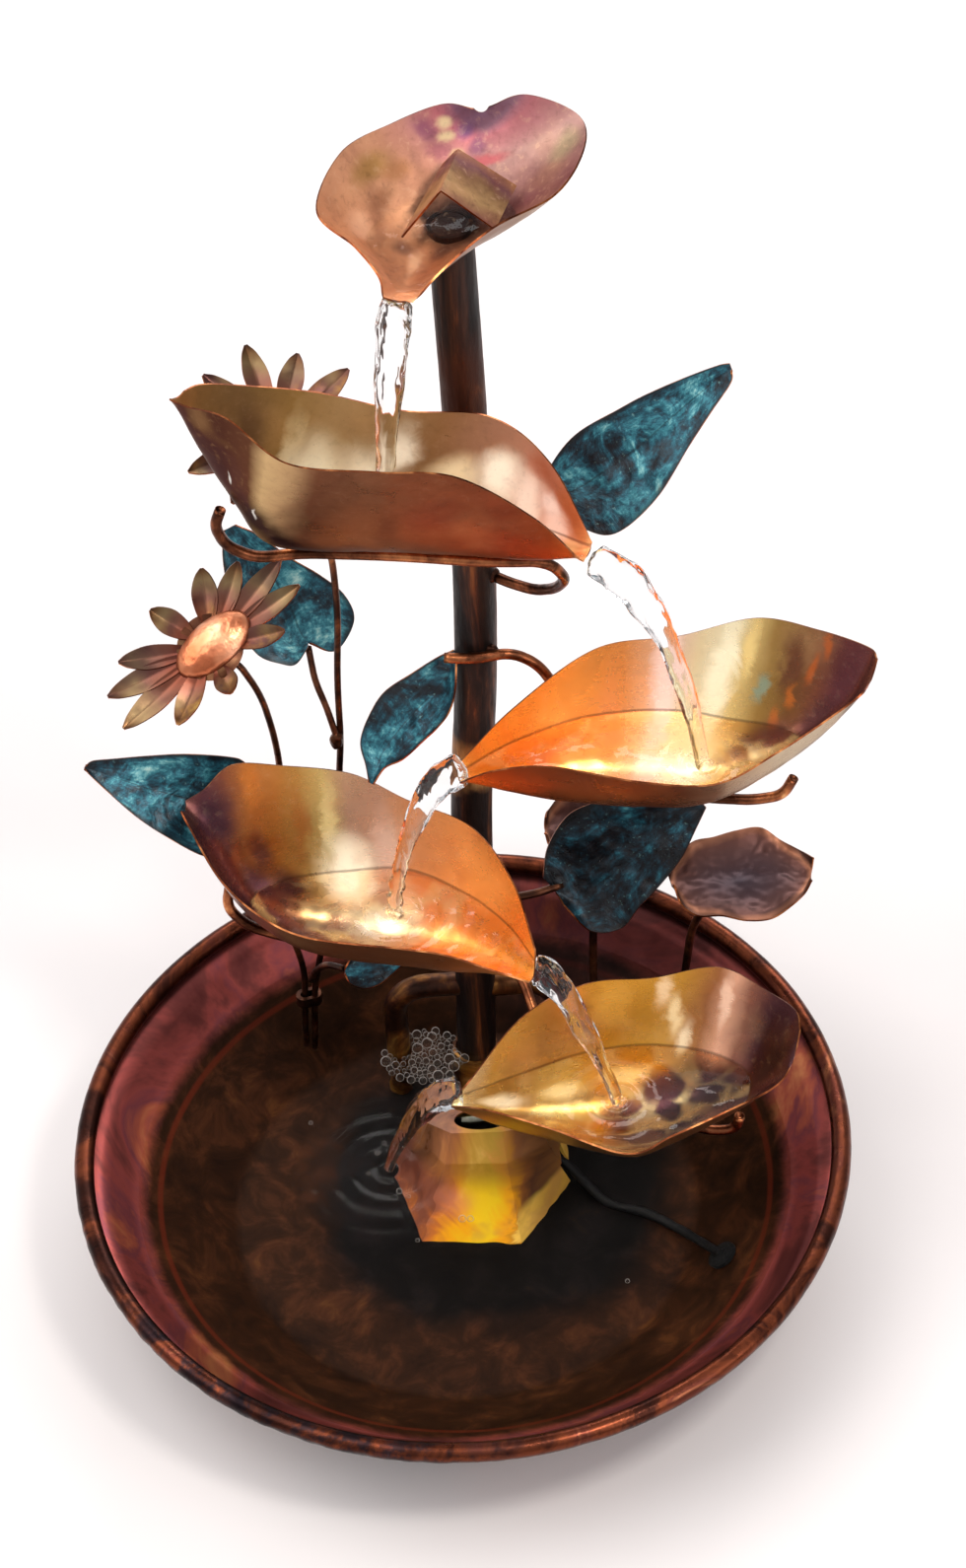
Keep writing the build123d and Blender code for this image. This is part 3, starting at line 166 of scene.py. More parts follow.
LILY_PAD_REAR = [
    ((42.0, 107.0, 116.5), (41.8, 109.8, 114.9), (42.6, 112.7, 119.2)),
    ((43.7, 101.5, 113.7), (44.3, 109.8, 114.1), (43.9, 118.1, 117.9)),
    ((48.9, 97.7, 115.4), (48.8, 109.8, 113.6), (48.5, 122.4, 120.6)),
    ((55.2, 95.6, 113.6), (54.9, 109.8, 113.4), (55.1, 124.3, 122.2)),
    ((61.7, 93.7, 111.7), (61.7, 109.8, 113.3), (61.7, 125.4, 119.9)),
    ((68.8, 94.4, 114.5), (68.6, 109.8, 113.4), (68.8, 125.3, 121.3)),
    ((74.3, 98.0, 114.4), (74.7, 109.8, 113.6), (74.7, 122.1, 121.6)),
    ((78.7, 102.0, 113.7), (79.2, 109.8, 114.2), (78.5, 117.6, 117.8)),
    ((82.3, 106.8, 117.6), (81.6, 109.8, 114.9), (81.7, 112.9, 118.1)),
]

RISER = [(8.1, 67, 22), (9.4, 67, 60), (12.6, 67, 186), (16.9, 67, 240), (18.9, 67, 300), (18.4, 67, 383), (17.0, 67, 456.5)]
CORD_IN = [(38.2, 17.5, 12.0), (43.0, 14.6, 8.5), (48.5, 7.5, 4.6), (56.5, -3.6, 3.2), (70.5, -8.0, 3.1), (82.0, -16.4, 3.1), (92.0, -28.0, 8.0), (98.1, -40.0, 18.9)]
CORD_OUT = [(105.5, -45.1, 11.5), (109.3, -46.7, 7.8), (115.6, -45.2, 4.2), (122.6, -38.0, 2.5), (126.5, -24.0, 2.3), (127.6, 2.0, 2.2), (124.0, 38.0, 2.3), (112.0, 80.0, 2.3), (90.0, 114.0, 2.2), (64.0, 131.5, 2.3), (38.0, 136.5, 2.4), (20.0, 135.9, 2.4), (9.0, 135.5, 2.4)]
PLUG_LEAD = [(-16.5, 135.8, 6.6), (-29.5, 141.2, 4.2), (-44.0, 147.0, 2.3), (-59.0, 146.5, 2.3), (-69.0, 136.0, 4.4), (-73.0, 121.0, 7.0)]
COIL_C = (-5.0, 162.0)


# ------------------------------------------------------------------ curves
def crom(P, t):
    """Catmull-Rom through P at t from 0 to 1."""
    n = len(P) - 1
    s = min(int(t * n), n - 1)
    f = t * n - s
    p1, p2 = P[s], P[s + 1]
    p0 = P[s - 1] if s > 0 else 2 * p1 - p2
    p3 = P[s + 2] if s < n - 1 else 2 * p2 - p1
    return 0.5 * ((2 * p1) + (p2 - p0) * f + (2 * p0 - 5 * p1 + 4 * p2 - p3) * f * f + (3 * p1 - p0 - 3 * p2 + p3) * f ** 3)


def smooth(a, b, x):
    t = min(max((x - a) / (b - a), 0.0), 1.0)
    return t * t * (3 - 2 * t)


def fillet(points, step=1.3, cap=None):
    """Straight runs joined by tangent arcs, sampled every step or so."""
    P = [Vector(p) for p in points]
    out = [P[0].copy()]
    for i in range(1, len(P) - 1):
        a, b, c = P[i - 1], P[i], P[i + 1]
        d1, d2 = (a - b).normalized(), (c - b).normalized()
        turn = math.pi - d1.angle(d2)
        if turn < 1e-3:
            out.append(b.copy())
            continue
        r = 0.45 * min((a - b).length, (c - b).length) / math.tan(turn / 2)
        if cap:
            r = min(r, cap)
        trim = r * math.tan(turn / 2)
        s, e = b + d1 * trim, b + d2 * trim
        mid = b + (d1 + d2).normalized() * (r / math.cos(turn / 2))
        n = max(4, int(turn * r / step) + 1)
        va, vb = s - mid, e - mid
        ang = va.angle(vb)
        for k in range(n + 1):
            w = k / n
            out.append(mid + (va * math.sin((1 - w) * ang) + vb * math.sin(w * ang)) / math.sin(ang))
    out.append(P[-1].copy())
    full = [out[0]]
    for q in out[1:]:
        gap = (q - full[-1]).length
        if gap < 1e-6:
            continue
        last = full[-1]
        n = max(1, int(gap / (step * 1.6)))
        for k in range(1, n + 1):
            full.append(last.lerp(q, k / n))
    return full


# ------------------------------------------------------------------ mesh helpers
def make_mesh(name, verts, faces, mats, midx=None, uu=None, vv=None, sharp=()):
    me = bpy.data.meshes.new(name)
    me.from_pydata([Vector(v) * MM for v in verts], [], faces)
    me.validate()
    for m in mats:
        me.materials.append(m)
    if midx:
        me.polygons.foreach_set("material_index", midx)
    me.polygons.foreach_set("use_smooth", [True] * len(me.polygons))
    for tag, vals in (("uu", uu), ("vv", vv)):
        if vals:
            at = me.attributes.new(tag, "FLOAT", "POINT")
            at.data.foreach_set("value", vals)
    if sharp:
        want = set(sharp)
        for e in me.edges:
            if tuple(sorted(e.vertices)) in want:
                e.use_edge_sharp = True
    me.update()
    ob = bpy.data.objects.new(name, me)
    scene.collection.objects.link(ob)
    return ob


def frames(path):
    """Tangents and two turning-free cross directions along a path."""
    n = len(path)
    T = [(path[min(i + 1, n - 1)] - path[max(i - 1, 0)]).normalized() for i in range(n)]
    ref = Vector((0, 0, 1)) if abs(T[0].z) < 0.9 else Vector((0, 1, 0))
    N = [(ref - T[0] * ref.dot(T[0])).normalized()]
    for i in range(1, n):
        q = N[-1] - T[i] * N[-1].dot(T[i])
        N.append(q.normalized())
    B = [T[i].cross(N[i]) for i in range(n)]
    return T, N, B


def tube(name, path, radius, mat, sides=22, round_end=0.8, hollow=None, wobble=0.0, seed=0.0):
    """A closed tube along a path. radius is a number or a function of the fraction along it; hollow is an inner radius."""
    T, N, B = frames(path)
    total = sum((path[i + 1] - path[i]).length for i in range(len(path) - 1))
    rad = radius if callable(radius) else (lambda f: radius)
    stations = []
    run = 0.0
    for i, p in enumerate(path):
        if i:
            run += (p - path[i - 1]).length
        stations.append((p, N[i], B[i], rad(run / total), run / total))
    rings = []
    r0, r1 = stations[0][3], stations[-1][3]
    if hollow is None:
        bev = round_end * min(r0, 1.6)
        for k in (0, 1, 2, 3):
            a = k * math.pi / 8
            p = stations[0][0] + T[0] * (bev * (1 - math.sin(a)) * 0.0 + bev * (1 - math.cos(math.pi / 2 - a)))
            rings.append((p, N[0], B[0], r0 - bev * (1 - math.sin(a)), 0.0))
        start_run = bev
        run = 0.0
        for i in range(1, len(stations) - 1):
            run += (path[i] - path[i - 1]).length
            if start_run < run < total - bev:
                rings.append(stations[i])
        for k in (3, 2, 1, 0):
            a = k * math.pi / 8
            p = stations[-1][0] - T[-1] * (bev * (1 - math.cos(math.pi / 2 - a)))
            rings.append((p, N[-1], B[-1], r1 - bev * (1 - math.sin(a)), 1.0))
    else:
        rings = stations
    verts, faces, uu, vv = [], [], [], []
    for p, n, b, r, f in rings:
        for k in range(sides):
            a = 2 * math.pi * k / sides
            d = n * math.cos(a) + b * math.sin(a)
            w = wobble * noise.noise(Vector((seed, 0, 0)) + (p + d * r) * 0.16) if wobble else 0.0
            verts.append(p + d * (r + min(w, 0.0)))
            uu.append(f)
            vv.append(k / sides)
    m = len(rings)
    for i in range(m - 1):
        for k in range(sides):
            k2 = (k + 1) % sides
            faces.append((i * sides + k, i * sides + k2, (i + 1) * sides + k2, (i + 1) * sides + k))
    sharp = []
    if hollow is None:
        faces.append(tuple(reversed(range(sides))))
        faces.append(tuple((m - 1) * sides + k for k in range(sides)))
    else:
        base = len(verts)
        for p, n, b, r, f in rings:
            for k in range(sides):
                a = 2 * math.pi * k / sides
                verts.append(p + (n * math.cos(a) + b * math.sin(a)) * hollow)
                uu.append(f)
                vv.append(k / sides)
        for i in range(m - 1):
            for k in range(sides):
                k2 = (k + 1) % sides
                faces.append((base + i * sides + k2, base + i * sides + k, base + (i + 1) * sides + k, base + (i + 1) * sides + k2))
        for i in (0, m - 1):
            for k in range(sides):
                k2 = (k + 1) % sides
                q = (i * sides + k, base + i * sides + k, base + i * sides + k2, i * sides + k2)
                faces.append(q if i == 0 else tuple(reversed(q)))
                sharp += [tuple(sorted((i * sides + k, i * sides + k2))), tuple(sorted((base + i * sides + k, base + i * sides + k2)))]
    ob = make_mesh(name, verts, faces, [mat], None, uu, vv, sharp)
    return ob


def sheet_point(rows, bow, u, v):
    A, M, B = (crom([Vector(r[k]) for r in rows], u) for k in range(3))
    return M + (B - A) * (v / 2) + ((A + B) / 2 - M) * (abs(v) ** bow)


class Sheet:
    """A bent sheet with its inner face on the table's points and its thickness on the outer side."""

    def __init__(self, name, table, bow, nu, nv, mats, thick=0.7, dent=0.0, freq=0.05, seed=0.0, ripple=None, crease=False):
        self.rows = [[Vector(p) for p in r] for r in table]
        self.bow = bow
        cols = [[r[k] for r in self.rows] for k in range(3)]
        grid, side = [], []
        for i in range(nu + 1):
            u = i / nu
            A, M, B = (crom(c, u) for c in cols)
            h = (A + B) / 2 - M
            side.append(-h)
            grid.append([M + (B - A) * ((-1 + 2 * j / nv) / 2) + h * (abs(-1 + 2 * j / nv) ** bow) for j in range(nv + 1)])
        norm = [[None] * (nv + 1) for _ in range(nu + 1)]
        vote = 0.0
        for i in range(nu + 1):
            for j in range(nv + 1):
                du = grid[min(i + 1, nu)][j] - grid[max(i - 1, 0)][j]
                dv = grid[i][min(j + 1, nv)] - grid[i][max(j - 1, 0)]
                n = du.cross(dv)
                n = n.normalized() if n.length > 1e-9 else Vector((0, 0, 0))
                norm[i][j] = n
                if j == nv // 2 and side[i].length > 0:
                    vote += n.dot(side[i].normalized())
        s = 1.0 if vote >= 0 else -1.0
        verts, uu, vv = [], [], []
        inner, outer = [], []
        for i in range(nu + 1):
            for j in range(nv + 1):
                u, v = i / nu, -1 + 2 * j / nv
                n = norm[i][j] * s
                edge = (1 - v ** 4) * (1 - (2 * u - 1) ** 8)
                d = dent * edge * noise.noise(grid[i][j] * freq + Vector((seed, seed * 2, 0)))
                d += 0.35 * dent * edge * noise.noise(grid[i][j] * freq * 3.1 + Vector((0, seed, 5)))
                if ripple:
                    d += ripple(u, v)
                p = grid[i][j] + n * d
                inner.append(p)
                outer.append(p + n * thick)
                uu.append(u)
                vv.append((v + 1) / 2)
        self.inner = [inner[i * (nv + 1):(i + 1) * (nv + 1)] for i in range(nu + 1)]
        N = len(inner)
        verts = inner + outer
        uu, vv = uu * 2, vv * 2
        idx = lambda i, j: i * (nv + 1) + j
        faces, midx, sharp = [], [], []
        # the table side faces away from the outer side
        for i in range(nu):
            for j in range(nv):
                q = (idx(i, j), idx(i + 1, j), idx(i + 1, j + 1), idx(i, j + 1))
                if s > 0:
                    inn, out = tuple(reversed(q)), q
                else:
                    inn, out = q, tuple(reversed(q))
                faces.append(inn)
                midx.append(0)
                faces.append(tuple(N + k for k in out))
                midx.append(1)
        loop = [idx(0, j) for j in range(nv + 1)] + [idx(i, nv) for i in range(1, nu + 1)] + [idx(nu, j) for j in range(nv - 1, -1, -1)] + [idx(i, 0) for i in range(nu - 1, 0, -1)]
        for k in range(len(loop)):
            a, b = loop[k], loop[(k + 1) % len(loop)]
            q = (a, b, N + b, N + a)
            faces.append(q if s < 0 else tuple(reversed(q)))
            midx.append(2)
            sharp += [tuple(sorted((a, b))), tuple(sorted((N + a, N + b)))]
        if crease:
            for i in range(nu):
                a, b = idx(i, nv // 2), idx(i + 1, nv // 2)
                sharp += [(min(a, b), max(a, b)), (N + min(a, b), N + max(a, b))]
        self.ob = make_mesh(name, verts, faces, mats, midx, uu, vv, sharp)
        self.nu, self.nv = nu, nv


# ------------------------------------------------------------------ materials
def rgb(h):
    """Linear colour from a hex screen colour."""
    c = [int(h[i:i + 2], 16) / 255 for i in (1, 3, 5)]
    return tuple([(x / 12.92 if x <= 0.04045 else ((x + 0.055) / 1.055) ** 2.4) for x in c] + [1.0])


class Nodes:
    def __init__(self, name):
        self.mat = bpy.data.materials.new(name)
        self.mat.use_nodes = True
        self.t = self.mat.node_tree
        self.t.nodes.clear()
        self.out = self.t.nodes.new("ShaderNodeOutputMaterial")
        self.coord = None

    def new(self, kind, **kw):
        n = self.t.nodes.new(kind)
        for k, v in kw.items():
            setattr(n, k, v)
        return n

    def link(self, a, b):
        self.t.links.new(a, b)

    def put(self, sock, val):
        if isinstance(val, bpy.types.NodeSocket):
            self.link(val, sock)
        else:
            sock.default_value = val

    def obj(self):
        if self.coord is None:
            self.coord = self.new("ShaderNodeTexCoord")
        return self.coord.outputs["Object"]

    def attr(self, name):
        n = self.new("ShaderNodeAttribute", attribute_name=name)
        return n.outputs["Fac"]

    def noise(self, scale, detail=3.0, rough=0.55, vec=None, stretch=None, distort=0.0):
        v = vec or self.obj()
        if stretch:
            m = self.new("ShaderNodeMapping")
            self.link(v, m.inputs["Vector"])
            m.inputs["Scale"].default_value = stretch
            v = m.outputs["Vector"]
        n = self.new("ShaderNodeTexNoise")
        self.link(v, n.inputs["Vector"])
        n.inputs["Scale"].default_value = scale
        n.inputs["Detail"].default_value = detail
        n.inputs["Roughness"].default_value = rough
        n.inputs["Distortion"].default_value = distort
        return n.outputs["Fac"]

    def math(self, op, a, b=0.5, clamp=False):
        n = self.new("ShaderNodeMath", operation=op, use_clamp=clamp)
        self.put(n.inputs[0], a)
        self.put(n.inputs[1], b)
        return n.outputs[0]

    def span(self, v, a, b, lo=0.0, hi=1.0, kind="SMOOTHSTEP"):
        n = self.new("ShaderNodeMapRange", interpolation_type=kind)
        self.put(n.inputs["Value"], v)
        n.inputs["From Min"].default_value = a
        n.inputs["From Max"].default_value = b
        n.inputs["To Min"].default_value = lo
        n.inputs["To Max"].default_value = hi
        return n.outputs["Result"]

    def ramp(self, v, stops, kind="LINEAR"):
        n = self.new("ShaderNodeValToRGB")
        r = n.color_ramp
        r.interpolation = kind
        while len(r.elements) > 1:
            r.elements.remove(r.elements[-1])
        r.elements[0].position = stops[0][0]
        r.elements[0].color = rgb(stops[0][1]) if isinstance(stops[0][1], str) else stops[0][1]
        for p, c in stops[1:]:
            e = r.elements.new(p)
            e.color = rgb(c) if isinstance(c, str) else c
        self.put(n.inputs["Fac"], v)
        return n.outputs["Color"]

    def mix(self, f, a, b, mode="MIX"):
        n = self.new("ShaderNodeMix", data_type="RGBA", blend_type=mode)
        self.put(n.inputs["Factor"], f)
        for s, v in ((n.inputs["A"], a), (n.inputs["B"], b)):
            if isinstance(v, str):
                v = rgb(v)
            self.put(s, v)
        return n.outputs["Result"]

    def bump(self, height, strength=0.3, distance=0.0004, normal=None):
        n = self.new("ShaderNodeBump")
        n.inputs["Strength"].default_value = strength
        n.inputs["Distance"].default_value = distance
        self.put(n.inputs["Height"], height)
        if normal:
            self.link(normal, n.inputs["Normal"])
        return n.outputs["Normal"]

    def surface(self, color, metallic=1.0, rough=0.3, normal=None, coat=0.0, ior=1.5, spec=None):
        b = self.new("ShaderNodeBsdfPrincipled")
        self.put(b.inputs["Base Color"], color)
        self.put(b.inputs["Metallic"], metallic)
        self.put(b.inputs["Roughness"], rough)
        b.inputs["IOR"].default_value = ior
        if normal:
            self.link(normal, b.inputs["Normal"])
        if spec is not None:
            b.inputs["Specular IOR Level"].default_value = spec[0]
            b.inputs["Specular Tint"].default_value = (*spec[1], 1.0)
        if coat:
            b.inputs["Coat Weight"].default_value = coat
            b.inputs["Coat Roughness"].default_value = 0.12
        self.link(b.outputs[0], self.out.inputs["Surface"])
        return self.mat


def heat_copper(name, far, near=None, rough=(0.2, 0.36), warp=0.16, metallic=0.78, split=(0.4, 0.62), painted_shade_spots=(), patches=(), pool=None, mottle=0.3, seed=0.0, freq=1.0, fine=0.0, spec=None):
    """Torch-coloured copper. far and near are the colour bands along the piece on its two sides.
    painted_shade_spots are (x, y, z, radius, colour, strength) in millimetres, spots of painted shade; patches are the
    same on the sheet itself, (u, v, half length, half width, colour, strength, painted_highlight_haze), heat colours
    and also painted highlights and reflections, where painted_highlight_haze turns the metal matte; pool is (level, x,
    y, radius, colour), a painted caustic glow and web on the copper under the water, with a darker line at the
    waterline."""
    m = Nodes(name)
    u, v = m.attr("uu"), m.attr("vv")
    big = m.noise(20.0 * freq, 3.0, 0.6, distort=0.6)
    mid = m.noise(70.0 * freq, 5.0, 0.62, distort=0.8)
    uw = m.math("ADD", u, m.math("MULTIPLY", m.math("SUBTRACT", big, 0.5), warp))
    uw = m.math("ADD", uw, m.math("MULTIPLY", m.math("SUBTRACT", mid, 0.5), warp * 0.4))
    col = m.ramp(uw, far)
    if near:
        vw = m.math("ADD", v, m.math("MULTIPLY", m.math("SUBTRACT", big, 0.5), 0.25))
        col = m.mix(m.span(vw, split[0], split[1]), m.ramp(uw, near), col)
    blotch = m.span(m.noise(34.0 * freq, 5.0, 0.66, distort=1.0), 0.5, 0.74)
    col = m.mix(m.math("MULTIPLY", blotch, mottle), col, m.mix(0.55, col, "#6a2f2a"))
    pale = m.span(m.noise(24.0 * freq, 3.0, 0.5), 0.54, 0.76)
    col = m.mix(m.math("MULTIPLY", pale, 0.22), col, "#ffc98c")
    # painted_shade_spots: painted shade darkening the copper around a point
    for x, y, z, r, tint, power in painted_shade_spots:
        d = m.new("ShaderNodeVectorMath", operation="DISTANCE")
        m.link(m.obj(), d.inputs[0])
        d.inputs[1].default_value = (x * MM, y * MM, z * MM)
        dw = m.math("ADD", d.outputs["Value"], m.math("MULTIPLY", m.math("SUBTRACT", mid, 0.5), r * MM * 0.9))
        col = m.mix(m.math("MULTIPLY", m.span(dw, r * MM, r * MM * 0.35), power), col, tint)
    under = None
    # pool: painted caustic glow, the copper under the water lightened towards the given point
    if pool:
        level, px, py, pr, tint = pool
        sep = m.new("ShaderNodeSeparateXYZ")
        m.link(m.obj(), sep.inputs[0])
        zj = m.math("ADD", sep.outputs["Z"], m.math("MULTIPLY", m.math("SUBTRACT", mid, 0.5), 0.002))
        under = m.span(zj, (level + 0.3) * MM, (level - 1.0) * MM)
        d = m.new("ShaderNodeVectorMath", operation="DISTANCE")
        flat = m.new("ShaderNodeCombineXYZ")
        m.link(sep.outputs["X"], flat.inputs[0])
        m.link(sep.outputs["Y"], flat.inputs[1])
        m.link(flat.outputs[0], d.inputs[0])
        d.inputs[1].default_value = (px * MM, py * MM, 0)
        dw = m.math("ADD", d.outputs["Value"], m.math("MULTIPLY", m.math("SUBTRACT", mid, 0.5), 0.014))
        painted_caustic_glow = m.math("MULTIPLY", m.span(dw, pr * MM, pr * 0.25 * MM), 0.6)
        col = m.mix(m.math("MULTIPLY", under, painted_caustic_glow), col, tint)
    painted_highlight_haze = None
    ub = m.math("ADD", u, m.math("MULTIPLY", m.math("SUBTRACT", mid, 0.5), 0.07))
    vb = m.math("ADD", v, m.math("MULTIPLY", m.math("SUBTRACT", big, 0.5), 0.16))
    # patches: heat colours, and painted highlights and reflections where a haze share is given
    for pu, pv, ru, rv, tint, power, highlight_haze in patches:
        du = m.math("DIVIDE", m.math("SUBTRACT", ub, pu), ru)
        dv = m.math("DIVIDE", m.math("SUBTRACT", vb, pv), rv)
        dd = m.math("SQRT", m.math("ADD", m.math("MULTIPLY", du, du), m.math("MULTIPLY", dv, dv)))
        mask = m.math("MULTIPLY", m.span(dd, 1.25, 0.25), power)
        col = m.mix(mask, col, tint)
        if highlight_haze:
            h = m.math("MULTIPLY", mask, highlight_haze)
            painted_highlight_haze = h if painted_highlight_haze is None else m.math("MAXIMUM", painted_highlight_haze, h)
    if fine:
        grain = m.noise(330.0, 4.0, 0.65, distort=0.4)
        col = m.mix(m.math("MULTIPLY", m.span(grain, 0.5, 0.72), fine), col, m.mix(0.6, col, "#3a1c14"))
        col = m.mix(m.math("MULTIPLY", m.span(grain, 0.46, 0.3), fine * 0.5), col, "#d9b08c")
    speck = m.span(m.noise(1000.0, 2.0, 0.5), 0.68, 0.8)
    col = m.mix(m.math("MULTIPLY", speck, 0.3), col, "#3a1c12")
    # pool: painted caustic web under the water, and a darker line along the waterline
    if pool:
        vor = m.new("ShaderNodeTexVoronoi", feature="SMOOTH_F1")
        warpv = m.new("ShaderNodeMapping")
        m.link(m.obj(), warpv.inputs["Vector"])
        warpv.inputs["Scale"].default_value = (1.0, 1.5, 0.6)
        wn = m.new("ShaderNodeTexNoise")
        m.link(warpv.outputs["Vector"], wn.inputs["Vector"])
        wn.inputs["Scale"].default_value = 60.0
        wadd = m.new("ShaderNodeVectorMath", operation="MULTIPLY_ADD")
        m.link(wn.outputs["Color"], wadd.inputs[0])
        wadd.inputs[1].default_value = (0.016, 0.016, 0.016)
        m.link(warpv.outputs["Vector"], wadd.inputs[2])
        m.link(wadd.outputs["Vector"], vor.inputs["Vector"])
        vor.inputs["Scale"].default_value = 80.0
        vor.inputs["Smoothness"].default_value = 0.35
        painted_caustic_web = m.span(vor.outputs["Distance"], 0.46, 0.75)
        col = m.mix(m.math("MULTIPLY", m.math("MULTIPLY", painted_caustic_web, under), 0.34), col, "#ffe3a0")
        line = m.math("MULTIPLY", m.span(sep.outputs["Z"], (level + 0.9) * MM, (level + 0.45) * MM), m.span(sep.outputs["Z"], (level - 0.5) * MM, (level + 0.1) * MM))
        col = m.mix(m.math("MULTIPLY", line, 0.55), col, "#4a2814")
    brush = m.noise(260.0, 3.0, 0.6, stretch=(0.25, 1.0, 2.6))
    r = m.span(m.math("ADD", m.math("MULTIPLY", mid, 0.7), m.math("MULTIPLY", brush, 0.3)), 0.3, 0.7, rough[0], rough[1], "LINEAR")
    n = m.bump(brush, 0.08, 0.00015)
    n = m.bump(m.noise(30.0, 2.0, 0.5), 0.16, 0.0014, n)
    # painted highlight patches lose their metal so they show as bright matte patches
    if painted_highlight_haze is not None:
        metallic = m.math("MULTIPLY", m.math("SUBTRACT", 1.0, painted_highlight_haze), metallic)
    return m.surface(col, metallic, r, n, spec=spec)


def rough_copper(name, stops, scale=40.0, rough=(0.3, 0.55), metallic=0.9, bump=0.35, stretch=(1, 1, 1), patina=0.0, patina_tint="#2f6f6c", distort=0.7):
    """Older copper: mottled through a ramp of oxide colours."""
    m = Nodes(name)
    a = m.noise(scale, 5.0, 0.62, stretch=stretch, distort=distort)
    col = m.ramp(m.span(a, 0.3, 0.7, 0.0, 1.0, "LINEAR"), stops)
    fine = m.noise(scale * 9, 4.0, 0.6, stretch=stretch)
    col = m.mix(m.math("MULTIPLY", m.span(fine, 0.55, 0.75), 0.4), col, "#241009")
    if patina:
        col = m.mix(m.math("MULTIPLY", m.span(m.noise(scale * 1.7, 5.0, 0.7), 0.58, 0.7), patina), col, patina_tint)
    r = m.span(fine, 0.3, 0.7, rough[0], rough[1], "LINEAR")
    n = m.bump(fine, bump * 0.5, 0.0003)
    n = m.bump(a, bump, 0.0012, n)
    return m.surface(col, metallic, r, n)


def teal_patina(name, dark=0.0, light=1.0):
    """Blue-green patina over darkened copper, brown where it wears off at the rim."""
    m = Nodes(name)
    v, u = m.attr("vv"), m.attr("uu")
    a = m.noise(40.0, 6.0, 0.7, distort=1.1)
    b = m.noise(170.0, 5.0, 0.7, distort=0.6)
    across = m.math("ABSOLUTE", m.math("SUBTRACT", v, 0.5))
    grow = m.new("ShaderNodeCombineXYZ")
    m.put(grow.inputs[0], m.math("MULTIPLY", u, 2.2))
    m.put(grow.inputs[1], m.math("MULTIPLY", v, 7.0))
    streak = m.noise(2.2, 4.0, 0.6, vec=grow.outputs[0], distort=0.5)
    mix = m.math("ADD", m.math("MULTIPLY", a, 0.58), m.math("ADD", m.math("MULTIPLY", b, 0.3), m.math("MULTIPLY", streak, 0.12)))
    mix = m.math("SUBTRACT", mix, dark * 0.08)
    col = m.ramp(m.span(mix, 0.37, 0.63, 0.0, 1.0, "LINEAR"), [(0.0, "#06070b"), (0.22, "#10181f"), (0.4, "#15333f"), (0.55, "#1e5362"), (0.7, "#367a86"), (0.84, "#6ba3a6"), (1.0, "#a8c8c0")])
    fleck = m.span(m.noise(520.0, 3.0, 0.6), 0.62, 0.75)
    col = m.mix(m.math("MULTIPLY", fleck, 0.3), col, "#8fc6c4")
    rim = m.span(m.math("ADD", across, m.math("MULTIPLY", m.math("SUBTRACT", b, 0.5), 0.2)), 0.44, 0.5)
    col = m.mix(m.math("MULTIPLY", rim, 0.85), col, "#120c0a")
    vein = m.span(across, 0.02, 0.0)
    col = m.mix(m.math("MULTIPLY", vein, 0.5), col, "#070a0d")
    n = m.bump(b, 0.4, 0.0006)
    n = m.bump(a, 0.5, 0.0016, n)
    r = m.span(mix, 0.35, 0.65, 0.25, 0.5, "LINEAR")
    return m.surface(col, 0.4, r, n)


